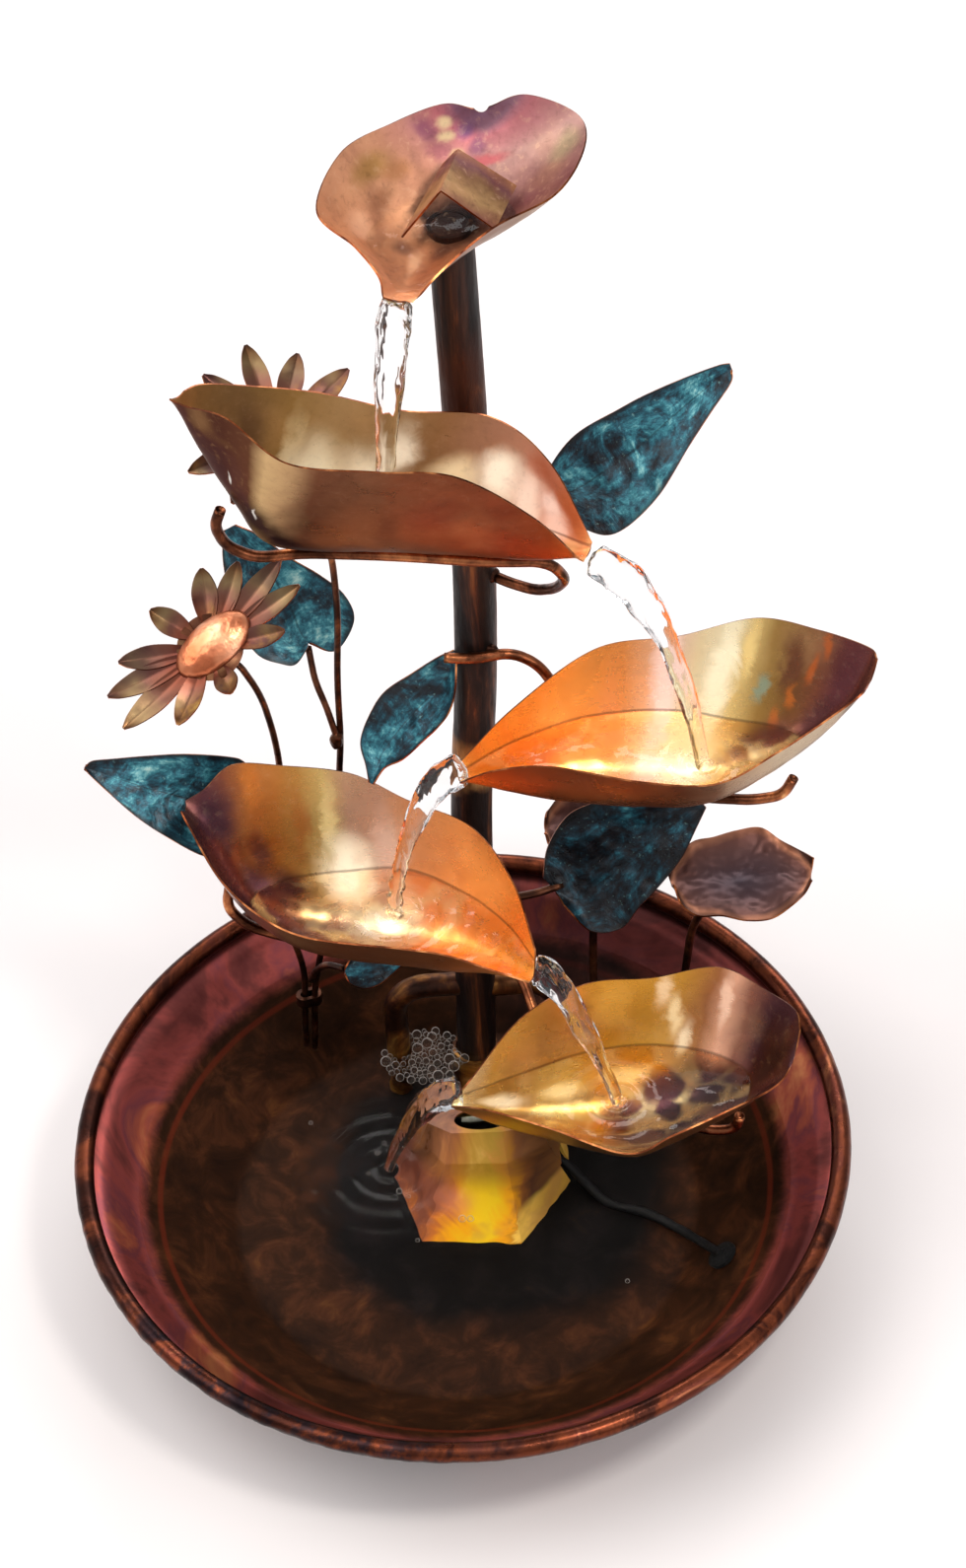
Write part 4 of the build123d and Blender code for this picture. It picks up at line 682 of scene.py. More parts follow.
def glass_water(name, rough_bump=None, tint=(0.985, 0.985, 0.97, 1.0), ripples=(), mirror=None, clear=0.0):
    """Clear water that lets light through to what lies under it."""
    m = Nodes(name)
    if mirror is None:
        g = m.new("ShaderNodeBsdfGlass")
    else:
        g = m.new("ShaderNodeBsdfRefraction")
    g.inputs["IOR"].default_value = 1.333
    g.inputs["Roughness"].default_value = 0.0
    g.inputs["Color"].default_value = tint
    shine = g
    if mirror is not None:
        gl = m.new("ShaderNodeBsdfGlossy")
        gl.inputs["Roughness"].default_value = 0.0
        fr = m.new("ShaderNodeFresnel")
        fr.inputs["IOR"].default_value = 1.333
        shine = m.new("ShaderNodeMixShader")
        amount = m.math("MULTIPLY", fr.outputs[0], mirror)
        for cx, cy, wave, reach, amp in ripples:
            near = m.new("ShaderNodeVectorMath", operation="DISTANCE")
            m.link(m.obj(), near.inputs[0])
            near.inputs[1].default_value = (cx * MM, cy * MM, 0.0382)
            amount = m.math("MULTIPLY", amount, m.span(near.outputs["Value"], 0.012, 0.042, 1.0, 0.0))
        m.link(amount, shine.inputs[0])
        m.link(g.outputs[0], shine.inputs[1])
        m.link(gl.outputs[0], shine.inputs[2])
    if rough_bump:
        scale, strength, dist, stretch = rough_bump
        h = m.noise(scale, 2.0, 0.5, stretch=stretch, distort=0.4)
        for cx, cy, wave, reach, amp in ripples:
            c = m.new("ShaderNodeVectorMath", operation="DISTANCE")
            m.link(m.obj(), c.inputs[0])
            c.inputs[1].default_value = (cx * MM, cy * MM, 0.0382)
            d = c.outputs["Value"]
            w = m.math("SINE", m.math("MULTIPLY", d, 2 * math.pi / (wave * MM)))
            w = m.math("MULTIPLY", w, m.span(d, 0.0, reach * MM, amp, 0.0))
            h = m.math("ADD", h, w)
        nb = m.bump(h, strength, dist)
        m.link(nb, g.inputs["Normal"])
        if mirror is not None:
            m.link(nb, gl.inputs["Normal"])
            m.link(nb, fr.inputs["Normal"])
    tr = m.new("ShaderNodeBsdfTransparent")
    tr.inputs["Color"].default_value = (0.96, 0.96, 0.95, 1.0)
    lp = m.new("ShaderNodeLightPath")
    mix = m.new("ShaderNodeMixShader")
    m.link(lp.outputs["Is Shadow Ray"], mix.inputs[0])
    if clear:
        see = m.new("ShaderNodeBsdfTransparent")
        part = m.new("ShaderNodeMixShader")
        part.inputs[0].default_value = clear
        m.link(shine.outputs[0], part.inputs[1])
        m.link(see.outputs[0], part.inputs[2])
        shine = part
    m.link(shine.outputs[0], mix.inputs[1])
    m.link(tr.outputs[0], mix.inputs[2])
    m.link(mix.outputs[0], m.out.inputs["Surface"])
    return m.mat


def keep(ob, body, nodes=()):
    """The piece stands for its CAD nodes and rides on their body."""
    if nodes:
        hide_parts(*nodes)
    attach(ob, body)
    return ob


def merge(name, obs):
    """Several meshes with the same slots become one."""
    import bmesh
    bm = bmesh.new()
    for o in obs:
        bm.from_mesh(o.data)
    me = bpy.data.meshes.new(name)
    bm.to_mesh(me)
    bm.free()
    for s in obs[0].data.materials:
        me.materials.append(s)
    ob = bpy.data.objects.new(name, me)
    scene.collection.objects.link(ob)
    for o in obs:
        old = o.data
        bpy.data.objects.remove(o)
        bpy.data.meshes.remove(old)
    return ob


def lathe(name, profile, segs, mats, midx_of, lump=None):
    """A closed profile in (radius, z) turned about the Z axis."""
    verts, faces, midx, uu, vv = [], [], [], [], []
    n = len(profile)
    for k in range(segs):
        a = 2 * math.pi * k / segs
        for i, (r, z) in enumerate(profile):
            p = Vector((r * math.cos(a), r * math.sin(a), z))
            if lump:
                p = lump(p, a, i)
            verts.append(p)
            uu.append(k / segs)
            vv.append(i / n)
    for k in range(segs):
        k2 = (k + 1) % segs
        for i in range(n):
            i2 = (i + 1) % n
            faces.append((k * n + i, k2 * n + i, k2 * n + i2, k * n + i2))
            midx.append(midx_of(i))
    ob = make_mesh(name, verts, faces, mats, midx, uu, vv)
    import bmesh
    bm = bmesh.new()
    bm.from_mesh(ob.data)
    bmesh.ops.remove_doubles(bm, verts=bm.verts, dist=1e-7)
    bmesh.ops.recalc_face_normals(bm, faces=bm.faces)
    bm.to_mesh(ob.data)
    bm.free()
    return ob


# ------------------------------------------------------------------ camera
C = Vector((0.0, -1.052903, 1.341956))
F = Vector((0.01078709, 0.69638012, -0.71759206))
R = Vector((0.99756862, -0.05690738, -0.04022941))
U = Vector((0.06885125, 0.71541336, 0.69530082))
cam_data = bpy.data.cameras.new("camera")
cam_data.sensor_width = 36
cam_data.sensor_fit = "AUTO"
cam_data.lens = 96.80
cam_data.clip_start = 0.05
cam = bpy.data.objects.new("camera", cam_data)
scene.collection.objects.link(cam)
cam.matrix_world = Matrix(((R.x, U.x, -F.x, C.x), (R.y, U.y, -F.y, C.y), (R.z, U.z, -F.z, C.z), (0, 0, 0, 1)))
scene.camera = cam
scene.view_settings.view_transform = "Standard"
scene.view_settings.look = "None"

# ------------------------------------------------------------------ cords
jm = Nodes("cord_jacket_black")
cord_mat = jm.surface(jm.ramp(jm.noise(300.0, 3.0), [(0.0, "#0c0c0d"), (1.0, "#1b1b1d")]), 0.0, jm.span(jm.noise(700.0, 2.0), 0.3, 0.7, 0.42, 0.6), jm.bump(jm.noise(1500.0, 2.0), 0.15, 0.0001), spec=(0.14, (1.0, 1.0, 1.0)))


def cord_curve(name, pts):
    cu = bpy.data.curves.new(name, "CURVE")
    cu.dimensions = "3D"
    sp = cu.splines.new("NURBS")
    sp.points.add(len(pts) - 1)
    for q, p in zip(sp.points, pts):
        q.co = (p[0] * MM, p[1] * MM, p[2] * MM, 1.0)
    sp.order_u = 3
    sp.use_endpoint_u = True
    cu.resolution_u = 8
    cu.bevel_depth = 0.002
    cu.bevel_resolution = 6
    cu.use_fill_caps = True
    cu.materials.append(cord_mat)
    ob = bpy.data.objects.new(name, cu)
    scene.collection.objects.link(ob)
    return ob


def curve_length(ob):
    dg = bpy.context.evaluated_depsgraph_get()
    cu = ob.data
    keep_bevel = cu.bevel_depth
    cu.bevel_depth = 0.0
    me = bpy.data.meshes.new_from_object(ob.evaluated_get(dg))
    bpy.context.view_layer.update()
    me2 = ob.to_mesh()
    total = sum((me2.vertices[e.vertices[0]].co - me2.vertices[e.vertices[1]].co).length for e in me2.edges)
    ob.to_mesh_clear()
    cu.bevel_depth = keep_bevel
    bpy.data.meshes.remove(me)
    return total


coil_pts = []
turns, per = 4, 16
for k in range(turns * per + 1):
    a = -math.pi / 2 - 2 * math.pi * k / per
    r = 26.5 - 12.3 * k / (turns * per)
    coil_pts.append((COIL_C[0] + r * math.cos(a), COIL_C[1] + r * math.sin(a), 2.4 + 4.5 * smooth(turns * per - 8, turns * per, k)))
for k in range(1, turns * per + 2):
    a = -math.pi / 2 - 2 * math.pi * k / per
    r = 14.2 + 12.3 * k / (turns * per)
    coil_pts.append((COIL_C[0] + r * math.cos(a), COIL_C[1] + r * math.sin(a), 6.9))
inner_cord = cord_curve("power_cord_inner_run", CORD_IN)
outer_cord = cord_curve("power_cord_outer_run", CORD_OUT[:-1] + coil_pts + PLUG_LEAD[1:])
lengths = {"inner": curve_length(inner_cord), "outer": curve_length(outer_cord)}
keep(inner_cord, "root", ["power_cord_inner"])
keep(outer_cord, "root", ["power_cord_outer", "cord_coil", "plug_lead"])
lead_end = fillet(PLUG_LEAD)
tail_n = 13
sleeve = tube("plug_strain_relief", lead_end[-tail_n:], lambda f: 2.5 + 0.9 * f + 0.28 * math.sin(f * 40.0), cord_mat, 20)
keep(sleeve, "root")

# ------------------------------------------------------------------ stage and light
fm = Nodes("floor_white")
fm.surface(fm.ramp(fm.noise(3.0, 4.0), [(0.3, "#d6cfcd"), (0.7, "#dcd6d4")]), 0.0, 0.8)
floor = make_mesh("studio_floor", [(-3000, -3000, -0.6), (3000, -3000, -0.6), (3000, 3000, -0.6), (-3000, 3000, -0.6)], [(0, 1, 2, 3)], [fm.mat])

world = bpy.data.worlds.new("studio")
scene.world = world
world.use_nodes = True
wt = world.node_tree
wt.nodes.clear()
wo = wt.nodes.new("ShaderNodeOutputWorld")
bg = wt.nodes.new("ShaderNodeBackground")
tc = wt.nodes.new("ShaderNodeTexCoord")
sep = wt.nodes.new("ShaderNodeSeparateXYZ")
wt.links.new(tc.outputs["Generated"], sep.inputs[0])
side_mul = wt.nodes.new("ShaderNodeMath")
side_mul.operation = "MULTIPLY_ADD"
side_mul.inputs[1].default_value = -0.34
side_mul.inputs[2].default_value = 0.0
wt.links.new(sep.outputs["X"], side_mul.inputs[0])
addn = wt.nodes.new("ShaderNodeMath")
addn.operation = "ADD"
wt.links.new(sep.outputs["Z"], addn.inputs[0])
wt.links.new(side_mul.outputs[0], addn.inputs[1])
mr = wt.nodes.new("ShaderNodeMapRange")
mr.inputs["From Min"].default_value = -1.0
mr.inputs["From Max"].default_value = 1.3
wt.links.new(addn.outputs[0], mr.inputs["Value"])
wr = wt.nodes.new("ShaderNodeValToRGB")
er = wr.color_ramp
er.elements[0].position = 0.0
er.elements[0].color = (0.30, 0.30, 0.31, 1)
er.elements[1].position = 1.0
er.elements[1].color = (1.25, 1.25, 1.28, 1)
for p, c in ((0.36, (0.36, 0.35, 0.36)), (0.5, (0.55, 0.55, 0.57)), (0.72, (0.85, 0.86, 0.9))):
    e = er.elements.new(p)
    e.color = (*c, 1)
wt.links.new(mr.outputs["Result"], wr.inputs["Fac"])
wt.links.new(wr.outputs["Color"], bg.inputs["Color"])
bg.inputs["Strength"].default_value = 0.95
wt.links.new(bg.outputs[0], wo.inputs["Surface"])


def area(name, loc, target, size, power, color=(1, 1, 1)):
    li = bpy.data.lights.new(name, "AREA")
    li.shape = "RECTANGLE"
    li.size, li.size_y = size
    li.energy = power
    li.color = color
    ob = bpy.data.objects.new(name, li)
    scene.collection.objects.link(ob)
    ob.location = loc
    ob.rotation_euler = (Vector(target) - Vector(loc)).to_track_quat("-Z", "Y").to_euler()
    return ob


area("key_light", (-0.9, -0.1, 1.5), (0.0, 0.05, 0.2), (1.3, 1.3), 17.0, (1.0, 0.985, 0.96))
area("fill_light", (1.1, -0.9, 0.9), (0.0, 0.0, 0.2), (0.9, 0.9), 7.0, (0.97, 0.98, 1.0))
area("front_light", (0.42, -0.55, 1.35), (0.0, 0.03, 0.28), (0.22, 0.22), 7.0, (1.0, 0.97, 0.92))
area("back_light", (0.3, 1.3, 1.1), (0.0, 0.0, 0.25), (1.2, 0.5), 9.0, (1.0, 1.0, 1.0))

# ------------------------------------------------------------------ finishes
mat_rod = rough_copper("rod_bronze_copper", [(0.0, "#2b150e"), (0.35, "#55301f"), (0.6, "#8a5034"), (0.85, "#b97347"), (1.0, "#d39a68")], 55.0, (0.24, 0.42), 1.0, 0.3)
mat_stem = rough_copper("stem_brown_copper", [(0.0, "#1c0f0b"), (0.4, "#3d241a"), (0.75, "#6b412c"), (1.0, "#94603f")], 60.0, (0.3, 0.5), 0.95, 0.3)

pm = Nodes("column_black_copper")
pn = pm.noise(30.0, 6.0, 0.65, stretch=(5.0, 5.0, 0.55), distort=0.5)
pf = pm.noise(240.0, 4.0, 0.6, stretch=(2.0, 2.0, 0.4))
pcol = pm.ramp(pm.span(pn, 0.32, 0.72, 0.0, 1.0, "LINEAR"), [(0.0, "#120d0c"), (0.4, "#241714"), (0.62, "#3f251b"), (0.8, "#6b3c22"), (1.0, "#94582f")])
pz = pm.new("ShaderNodeSeparateXYZ")
pm.link(pm.obj(), pz.inputs[0])
wob = pm.math("MULTIPLY", pm.math("SUBTRACT", pm.noise(60.0, 4.0), 0.5), 0.02)
zz = pm.math("ADD", pz.outputs["Z"], wob)
band = pm.math("MULTIPLY", pm.span(zz, 0.189, 0.197), pm.span(zz, 0.223, 0.212))
pcol = pm.mix(pm.math("MULTIPLY", band, 0.8), pcol, pm.ramp(pf, [(0.3, "#7a4c20"), (0.55, "#c88c50"), (0.75, "#f0bc80")]))
band2 = pm.math("MULTIPLY", pm.span(zz, 0.365, 0.38), pm.span(zz, 0.42, 0.40))
pcol = pm.mix(pm.math("MULTIPLY", band2, 0.35), pcol, "#5d2b12")
mat_pipe = pm.surface(pcol, 0.7, pm.span(pf, 0.3, 0.7, 0.42, 0.62, "LINEAR"), pm.bump(pf, 0.35, 0.0006, pm.bump(pn, 0.4, 0.0012)))

mat_leg = rough_copper("leg_dark_copper", [(0.0, "#1c100c"), (0.35, "#3c2216"), (0.6, "#6b4220"), (0.8, "#9a6c34"), (1.0, "#c8964c")], 55.0, (0.32, 0.5), 0.85, 0.4, (1, 1, 1))

# basin: wall heated red and purple, floor under the water brown with a dark round patch of painted shadow around the
# pump, far right wall darkened as painted shade
bm_ = Nodes("bowl_heat_patina")
bx = bm_.new("ShaderNodeSeparateXYZ")
bm_.link(bm_.obj(), bx.inputs[0])
bn = bm_.noise(16.0, 5.0, 0.62, distort=0.8)
bn2 = bm_.noise(60.0, 5.0, 0.66, distort=0.6)
flat = bm_.new("ShaderNodeCombineXYZ")
bm_.link(bx.outputs["X"], flat.inputs[0])
bm_.link(bx.outputs["Y"], flat.inputs[1])
wall_col = bm_.ramp(bm_.span(bn, 0.3, 0.7, 0, 1, "LINEAR"), [(0.0, "#522626"), (0.3, "#743a36"), (0.5, "#9c4a44"), (0.66, "#824246"), (0.82, "#b05a44"), (1.0, "#c87c52")])
floor_col = bm_.ramp(bm_.span(bn2, 0.3, 0.7, 0, 1, "LINEAR"), [(0.0, "#170c07"), (0.5, "#28160c"), (0.8, "#3a2012"), (1.0, "#4c2c17")])
# dark round patch around the pump: painted shadow of the cups and pump on the floor
painted_shadow_col = bm_.ramp(bm_.span(bn2, 0.3, 0.7, 0, 1, "LINEAR"), [(0.0, "#050405"), (0.5, "#0b0909"), (0.8, "#130f10"), (1.0, "#1c140e")])
dist = bm_.new("ShaderNodeVectorMath", operation="DISTANCE")
bm_.link(flat.outputs[0], dist.inputs[0])
dist.inputs[1].default_value = (0.010, 0.008, 0.0)
edge = bm_.math("ADD", dist.outputs["Value"], bm_.math("MULTIPLY", bm_.math("SUBTRACT", bn, 0.5), 0.035))
base_col = bm_.mix(bm_.span(edge, 0.060, 0.078), painted_shadow_col, floor_col)
rdist = bm_.new("ShaderNodeVectorMath", operation="LENGTH")
bm_.link(flat.outputs[0], rdist.inputs[0])
ring = bm_.math("MULTIPLY", bm_.span(rdist.outputs["Value"], 0.1195, 0.1205), bm_.span(rdist.outputs["Value"], 0.1225, 0.1215))
ring_col = "#5c2012"
zw = bm_.math("ADD", bx.outputs["Z"], bm_.math("MULTIPLY", bm_.math("SUBTRACT", bn2, 0.5), 0.006))
bcol = bm_.mix(bm_.span(zw, 0.033, 0.041), base_col, wall_col)
bcol = bm_.mix(bm_.math("MULTIPLY", ring, 0.55), bcol, ring_col)
# far right wall: painted shade
painted_shade_far_side = bm_.math("MULTIPLY", bm_.span(bx.outputs["Y"], 0.05, 0.11), bm_.span(bx.outputs["X"], 0.0, 0.05))
bcol = bm_.mix(bm_.math("MULTIPLY", painted_shade_far_side, 0.75), bcol, bm_.ramp(bn2, [(0.3, "#120a0b"), (0.6, "#2c191a"), (0.75, "#4a2c2a")]))
mat_bowl_in = bm_.surface(bcol, bm_.span(zw, 0.034, 0.042, 0.1, 0.8), bm_.span(zw, 0.034, 0.042, 0.55, 0.34), bm_.bump(bn2, 0.12, 0.0006), spec=(0.06, (1.0, 1.0, 1.0)))
mat_bowl_out = rough_copper("bowl_outside_copper", [(0.0, "#1d100d"), (0.35, "#3f2218"), (0.6, "#6e3c28"), (0.85, "#955638"), (1.0, "#b37950")], 22.0, (0.32, 0.5), 0.95, 0.3, (1, 1, 1), 0.35)

rmn = Nodes("rim_brown_copper")
ra = rmn.noise(24.0, 5.0, 0.64, distort=0.8)
rb = rmn.noise(110.0, 5.0, 0.66)
rcol = rmn.ramp(rmn.span(ra, 0.3, 0.7, 0, 1, "LINEAR"), [(0.0, "#1c0d0a"), (0.35, "#3d1d14"), (0.55, "#6b3520"), (0.75, "#572a20"), (1.0, "#95593a")])
rz = rmn.new("ShaderNodeSeparateXYZ")
rmn.link(rmn.obj(), rz.inputs[0])
low = rmn.span(rmn.math("ADD", rz.outputs["Z"], rmn.math("MULTIPLY", rmn.math("SUBTRACT", rb, 0.5), 0.006)), 0.0585, 0.0560)
rcol = rmn.mix(rmn.math("MULTIPLY", low, 0.75), rcol, rmn.ramp(rmn.span(rb, 0.35, 0.7, 0, 1), [(0.0, "#0c0b0d"), (0.6, "#231c1c"), (0.85, "#3c4342"), (1.0, "#7c6a5c")]))
rpos = rmn.new("ShaderNodeVectorMath", operation="DISTANCE")
rmn.link(rmn.obj(), rpos.inputs[0])
rpos.inputs[1].default_value = (-0.075, -0.135, 0.055)
old = rmn.span(rmn.math("ADD", rpos.outputs["Value"], rmn.math("MULTIPLY", rmn.math("SUBTRACT", ra, 0.5), 0.12)), 0.105, 0.05)
old = rmn.math("MULTIPLY", old, rmn.span(rb, 0.42, 0.56))
rcol = rmn.mix(rmn.math("MULTIPLY", old, 0.85), rcol, rmn.ramp(ra, [(0.35, "#120d12"), (0.6, "#2c2428"), (0.75, "#8a8a94")]))
mat_rim = rmn.surface(rcol, 0.95, rmn.span(rb, 0.3, 0.7, 0.22, 0.42, "LINEAR"), rmn.bump(rb, 0.4, 0.0007, rmn.bump(ra, 0.25, 0.0014)))

mat_edge = rough_copper("cut_edge_copper", [(0.0, "#3a1a10"), (0.5, "#7c4226"), (1.0, "#c98450")], 90.0, (0.25, 0.4), 1.0, 0.1)
mat_teal = teal_patina("leaf_teal_patina", 0.0)
mat_teal_dark = teal_patina("leaf_dark_patina", 0.9)
mat_teal_back = teal_patina("leaf_back_patina", 0.7)

# ------------------------------------------------------------------ basin and rim
def arc2(points, radius, n=10):
    (x0, z0), (x1, z1), (x2, z2) = points
    a, b, c = Vector((x0, z0)), Vector((x1, z1)), Vector((x2, z2))
    d1, d2 = (a - b).normalized(), (c - b).normalized()
    turn = math.pi - d1.angle(d2)
    trim = radius * math.tan(turn / 2)
    s, e = b + d1 * trim, b + d2 * trim
    mid = b + (d1 + d2).normalized() * (radius / math.cos(turn / 2))
    a0 = math.atan2(s.y - mid.y, s.x - mid.x)
    a1 = math.atan2(e.y - mid.y, e.x - mid.x)
    if a1 - a0 > math.pi:
        a1 -= 2 * math.pi
    if a1 - a0 < -math.pi:
        a1 += 2 * math.pi
    return [tuple(mid + Vector((math.cos(a0 + (a1 - a0) * k / n), math.sin(a0 + (a1 - a0) * k / n))) * radius) for k in range(n + 1)]


t45 = 0.8 * math.sqrt(2)
outer_prof = [(0.001, 0.0)] + [(r, 0.0) for r in (20, 40, 60, 75)] + arc2([(0, 0), (92, 0), (147.6, 55.6)], 9.0) + [(92 + k, float(k)) for k in (8, 16, 24, 32, 40, 48)] + [(147.6, 55.6)]
inner_prof = [(147.6 - t45 / 2, 55.6 + t45 / 2)] + [(92 + k - t45, 0.8 + k - 0.8) for k in (48, 40, 32, 24, 16, 8)] + arc2([(147.03, 56.17), (92.8 - t45, 0.8), (0, 0.8)], 8.2) + [(r, 0.8) for r in (75, 60, 40, 20)] + [(0.001, 0.8)]
n_out = len(outer_prof)
bowl = lathe("bowl_shell", outer_prof + inner_prof, 256, [mat_bowl_in, mat_bowl_out], lambda i: 1 if i < n_out else 0)
keep(bowl, "root", ["basin"])


def rim_lump(p, a, i):
    q = Vector((math.cos(a), math.sin(a), 0)) * 148.5 + Vector((0, 0, 58.0))
    d = (p - q).normalized()
    low_out = smooth(-0.1, 0.8, d.dot(Vector((math.cos(a), math.sin(a), 0))) * 0.6 - d.z * 0.75)
    left = 0.35 + 0.65 * smooth(0.2, 1.0, math.cos(a - math.radians(-138)))
    w = 0.55 * low_out * left * (noise.noise(p * 0.16) - 0.25) + 0.16 * noise.noise(p * 0.06)
    return p + d * min(w, 0.0)


ring_prof = [(148.5 + 3.9 * math.cos(2 * math.pi * k / 28), 58.0 + 3.9 * math.sin(2 * math.pi * k / 28)) for k in range(28)]
rim = lathe("rolled_rim", ring_prof, 420, [mat_rim], lambda i: 0, rim_lump)
keep(rim, "root", ["rim_ring"])

# ------------------------------------------------------------------ column, legs
keep(tube("riser_column", fillet(RISER), 7.95, mat_pipe, 40, hollow=6.7, wobble=0.12), "root", ["riser_pipe"])
keep(tube("leg_tube_left", fillet([(6.0, 67, 74.5), (-23.0, 67, 74.5), (-23.0, 67, 0.8)], 1.3, 28.5), 4.75, mat_leg, 28, hollow=3.8), "root", ["stand_leg_left"])
keep(tube("leg_tube_right", fillet([(14.0, 67, 72.5), (42.0, 67, 72.5), (42.0, 67, 0.8)], 1.3, 28.5), 4.75, mat_leg, 28, hollow=3.8), "root", ["stand_leg_right"])

# ------------------------------------------------------------------ cups
# flower inside: the dark spot round (18, 70, 456) is painted shade under the hood; the pale patches with a haze share
# are painted highlights
flower_in = heat_copper("flower_inside", [(0.0, "#7a5a70"), (0.10, "#7a5468"), (0.17, "#b0646a"), (0.24, "#a8706a"), (0.34, "#a8745a"), (0.48, "#c9906c"), (0.62, "#c08058"), (0.8, "#d08c64"), (1.0, "#dc9468")],
                        [(0.0, "#7a5a70"), (0.12, "#86606e"), (0.18, "#a86468"), (0.28, "#947068"), (0.42, "#90645c"), (0.5, "#7a4644"), (0.58, "#9a6a56"), (0.7, "#b8744c"), (0.85, "#c07c54"), (1.0, "#dc9468")], (0.42, 0.58), 0.10, 0.7,
                        painted_shade_spots=[(18.0, 70.0, 456.0, 17.0, "#1c0d0e", 0.95)],
                        patches=[(0.22, 0.90, 0.035, 0.09, "#7a3f58", 0.75, 0), (0.25, 0.74, 0.035, 0.12, "#7d3f4c", 0.65, 0), (0.13, 0.68, 0.06, 0.12, "#6d4a70", 0.8, 0), (0.20, 0.5, 0.06, 0.08, "#7a4a63", 0.75, 0), (0.27, 0.42, 0.03, 0.14, "#a8424a", 0.7, 0),
                                 (0.16, 0.88, 0.03, 0.06, "#c9b084", 0.9, 0.6), (0.19, 0.78, 0.028, 0.07, "#c9b084", 0.9, 0.6), (0.24, 0.63, 0.025, 0.05, "#b89a6c", 0.85, 0.6),
                                 (0.40, 0.90, 0.07, 0.07, "#9a7438", 0.75, 0), (0.36, 0.82, 0.05, 0.06, "#8f5c30", 0.6, 0), (0.46, 0.78, 0.05, 0.06, "#8a5638", 0.6, 0), (0.36, 0.06, 0.07, 0.06, "#948462", 0.7, 0), (0.44, 0.12, 0.05, 0.08, "#8a5a48", 0.5, 0),
                                 (0.56, 0.84, 0.05, 0.07, "#e0ac88", 0.6, 0.4), (0.72, 0.6, 0.09, 0.06, "#e8b48c", 0.6, 0.4), (0.62, 0.66, 0.05, 0.07, "#6b4436", 0.7, 0), (0.80, 0.42, 0.07, 0.1, "#b56a44", 0.5, 0), (0.66, 0.45, 0.06, 0.08, "#5c3830", 0.7, 0)], mottle=0.5, fine=0.4)
flower_out = heat_copper("flower_outside", [(0.0, "#7c6a60"), (0.3, "#a59a90"), (0.5, "#9b7f6a"), (0.8, "#8c5e42"), (1.0, "#a8683f")], None, (0.34, 0.5), 0.2)
# hood inside near-black: painted shade under the hood
hood_in = heat_copper("hood_inside", [(0.0, "#100808"), (0.5, "#1c0e0e"), (1.0, "#140909")], None, (0.4, 0.6), 0.2, 0.4)
hood_out = heat_copper("hood_outside", [(0.0, "#8d5a4c"), (0.3, "#a88458"), (0.55, "#7a5638"), (0.75, "#6b4040"), (1.0, "#94603f")], None, (0.36, 0.52), 0.7, 0.7, mottle=0.8, freq=2.2, fine=0.5)
flower = Sheet("flower_cup_sheet", FLOWER_CUP, 2.0, 90, 60, [flower_in, flower_out, mat_edge], 0.7, 0.7, 0.06, 1.0)
keep(flower.ob, "root", ["flower_cup"])
HOOD = [((31.5, 55.5, 463.5), (14.6, 57.0, 479.5), (1.0, 57.0, 461.5)), ((40.1, 74.0, 466.5), (21.5, 82.0, 477.0), (16.5, 79.5, 473.5))]
hood = Sheet("flower_hood_sheet", HOOD, 1.0, 24, 30, [hood_in, hood_out, mat_edge], 0.7, 0.2, 0.08, 2.0, crease=True)
keep(hood.ob, "root", ["flower_hood"])

# upper cup inside: the cream patches with a haze share are painted highlights and the pool colour is a painted caustic
# glow under the water
cup1_in = heat_copper("upper_cup_inside", [(0.0, "#8a6034"), (0.14, "#8d6a40"), (0.27, "#7f6240"), (0.38, "#a0804c"), (0.47, "#b8986a"), (0.55, "#a8885c"), (0.64, "#a07850"), (0.72, "#b08468"), (0.8, "#d0987c"), (0.87, "#c88468"), (0.94, "#cf7848"), (1.0, "#f0a060")],
                      None, (0.26, 0.42), 0.08, 0.55, mottle=0.15, fine=0.2, pool=(350.6, -8.0, 30.0, 34.0, "#fff0c8"),
                      patches=[(0.30, 0.86, 0.05, 0.12, "#5c4030", 0.6, 0), (0.40, 0.80, 0.022, 0.16, "#efdcae", 0.7, 0.6), (0.45, 0.78, 0.07, 0.14, "#fff4d4", 0.95, 0.9), (0.53, 0.80, 0.05, 0.13, "#fff4d8", 0.95, 0.9), (0.61, 0.88, 0.04, 0.08, "#94704c", 0.5, 0),
                               (0.68, 0.84, 0.06, 0.08, "#f8e4b8", 0.9, 0.8), (0.76, 0.87, 0.05, 0.10, "#fff4dc", 1.0, 0.95), (0.82, 0.80, 0.05, 0.18, "#ffe8d4", 0.95, 0.9), (0.90, 0.76, 0.05, 0.14, "#ffdcc8", 0.9, 0.85), (0.84, 0.96, 0.05, 0.05, "#b8603c", 0.7, 0), (0.95, 0.7, 0.04, 0.1, "#f0a078", 0.6, 0.4), (0.93, 0.93, 0.05, 0.06, "#c0683c", 0.6, 0), (0.575, 0.92, 0.04, 0.07, "#fff4dc", 0.9, 0.9), (0.88, 0.86, 0.035, 0.06, "#ffe4d4", 0.85, 0.8)])
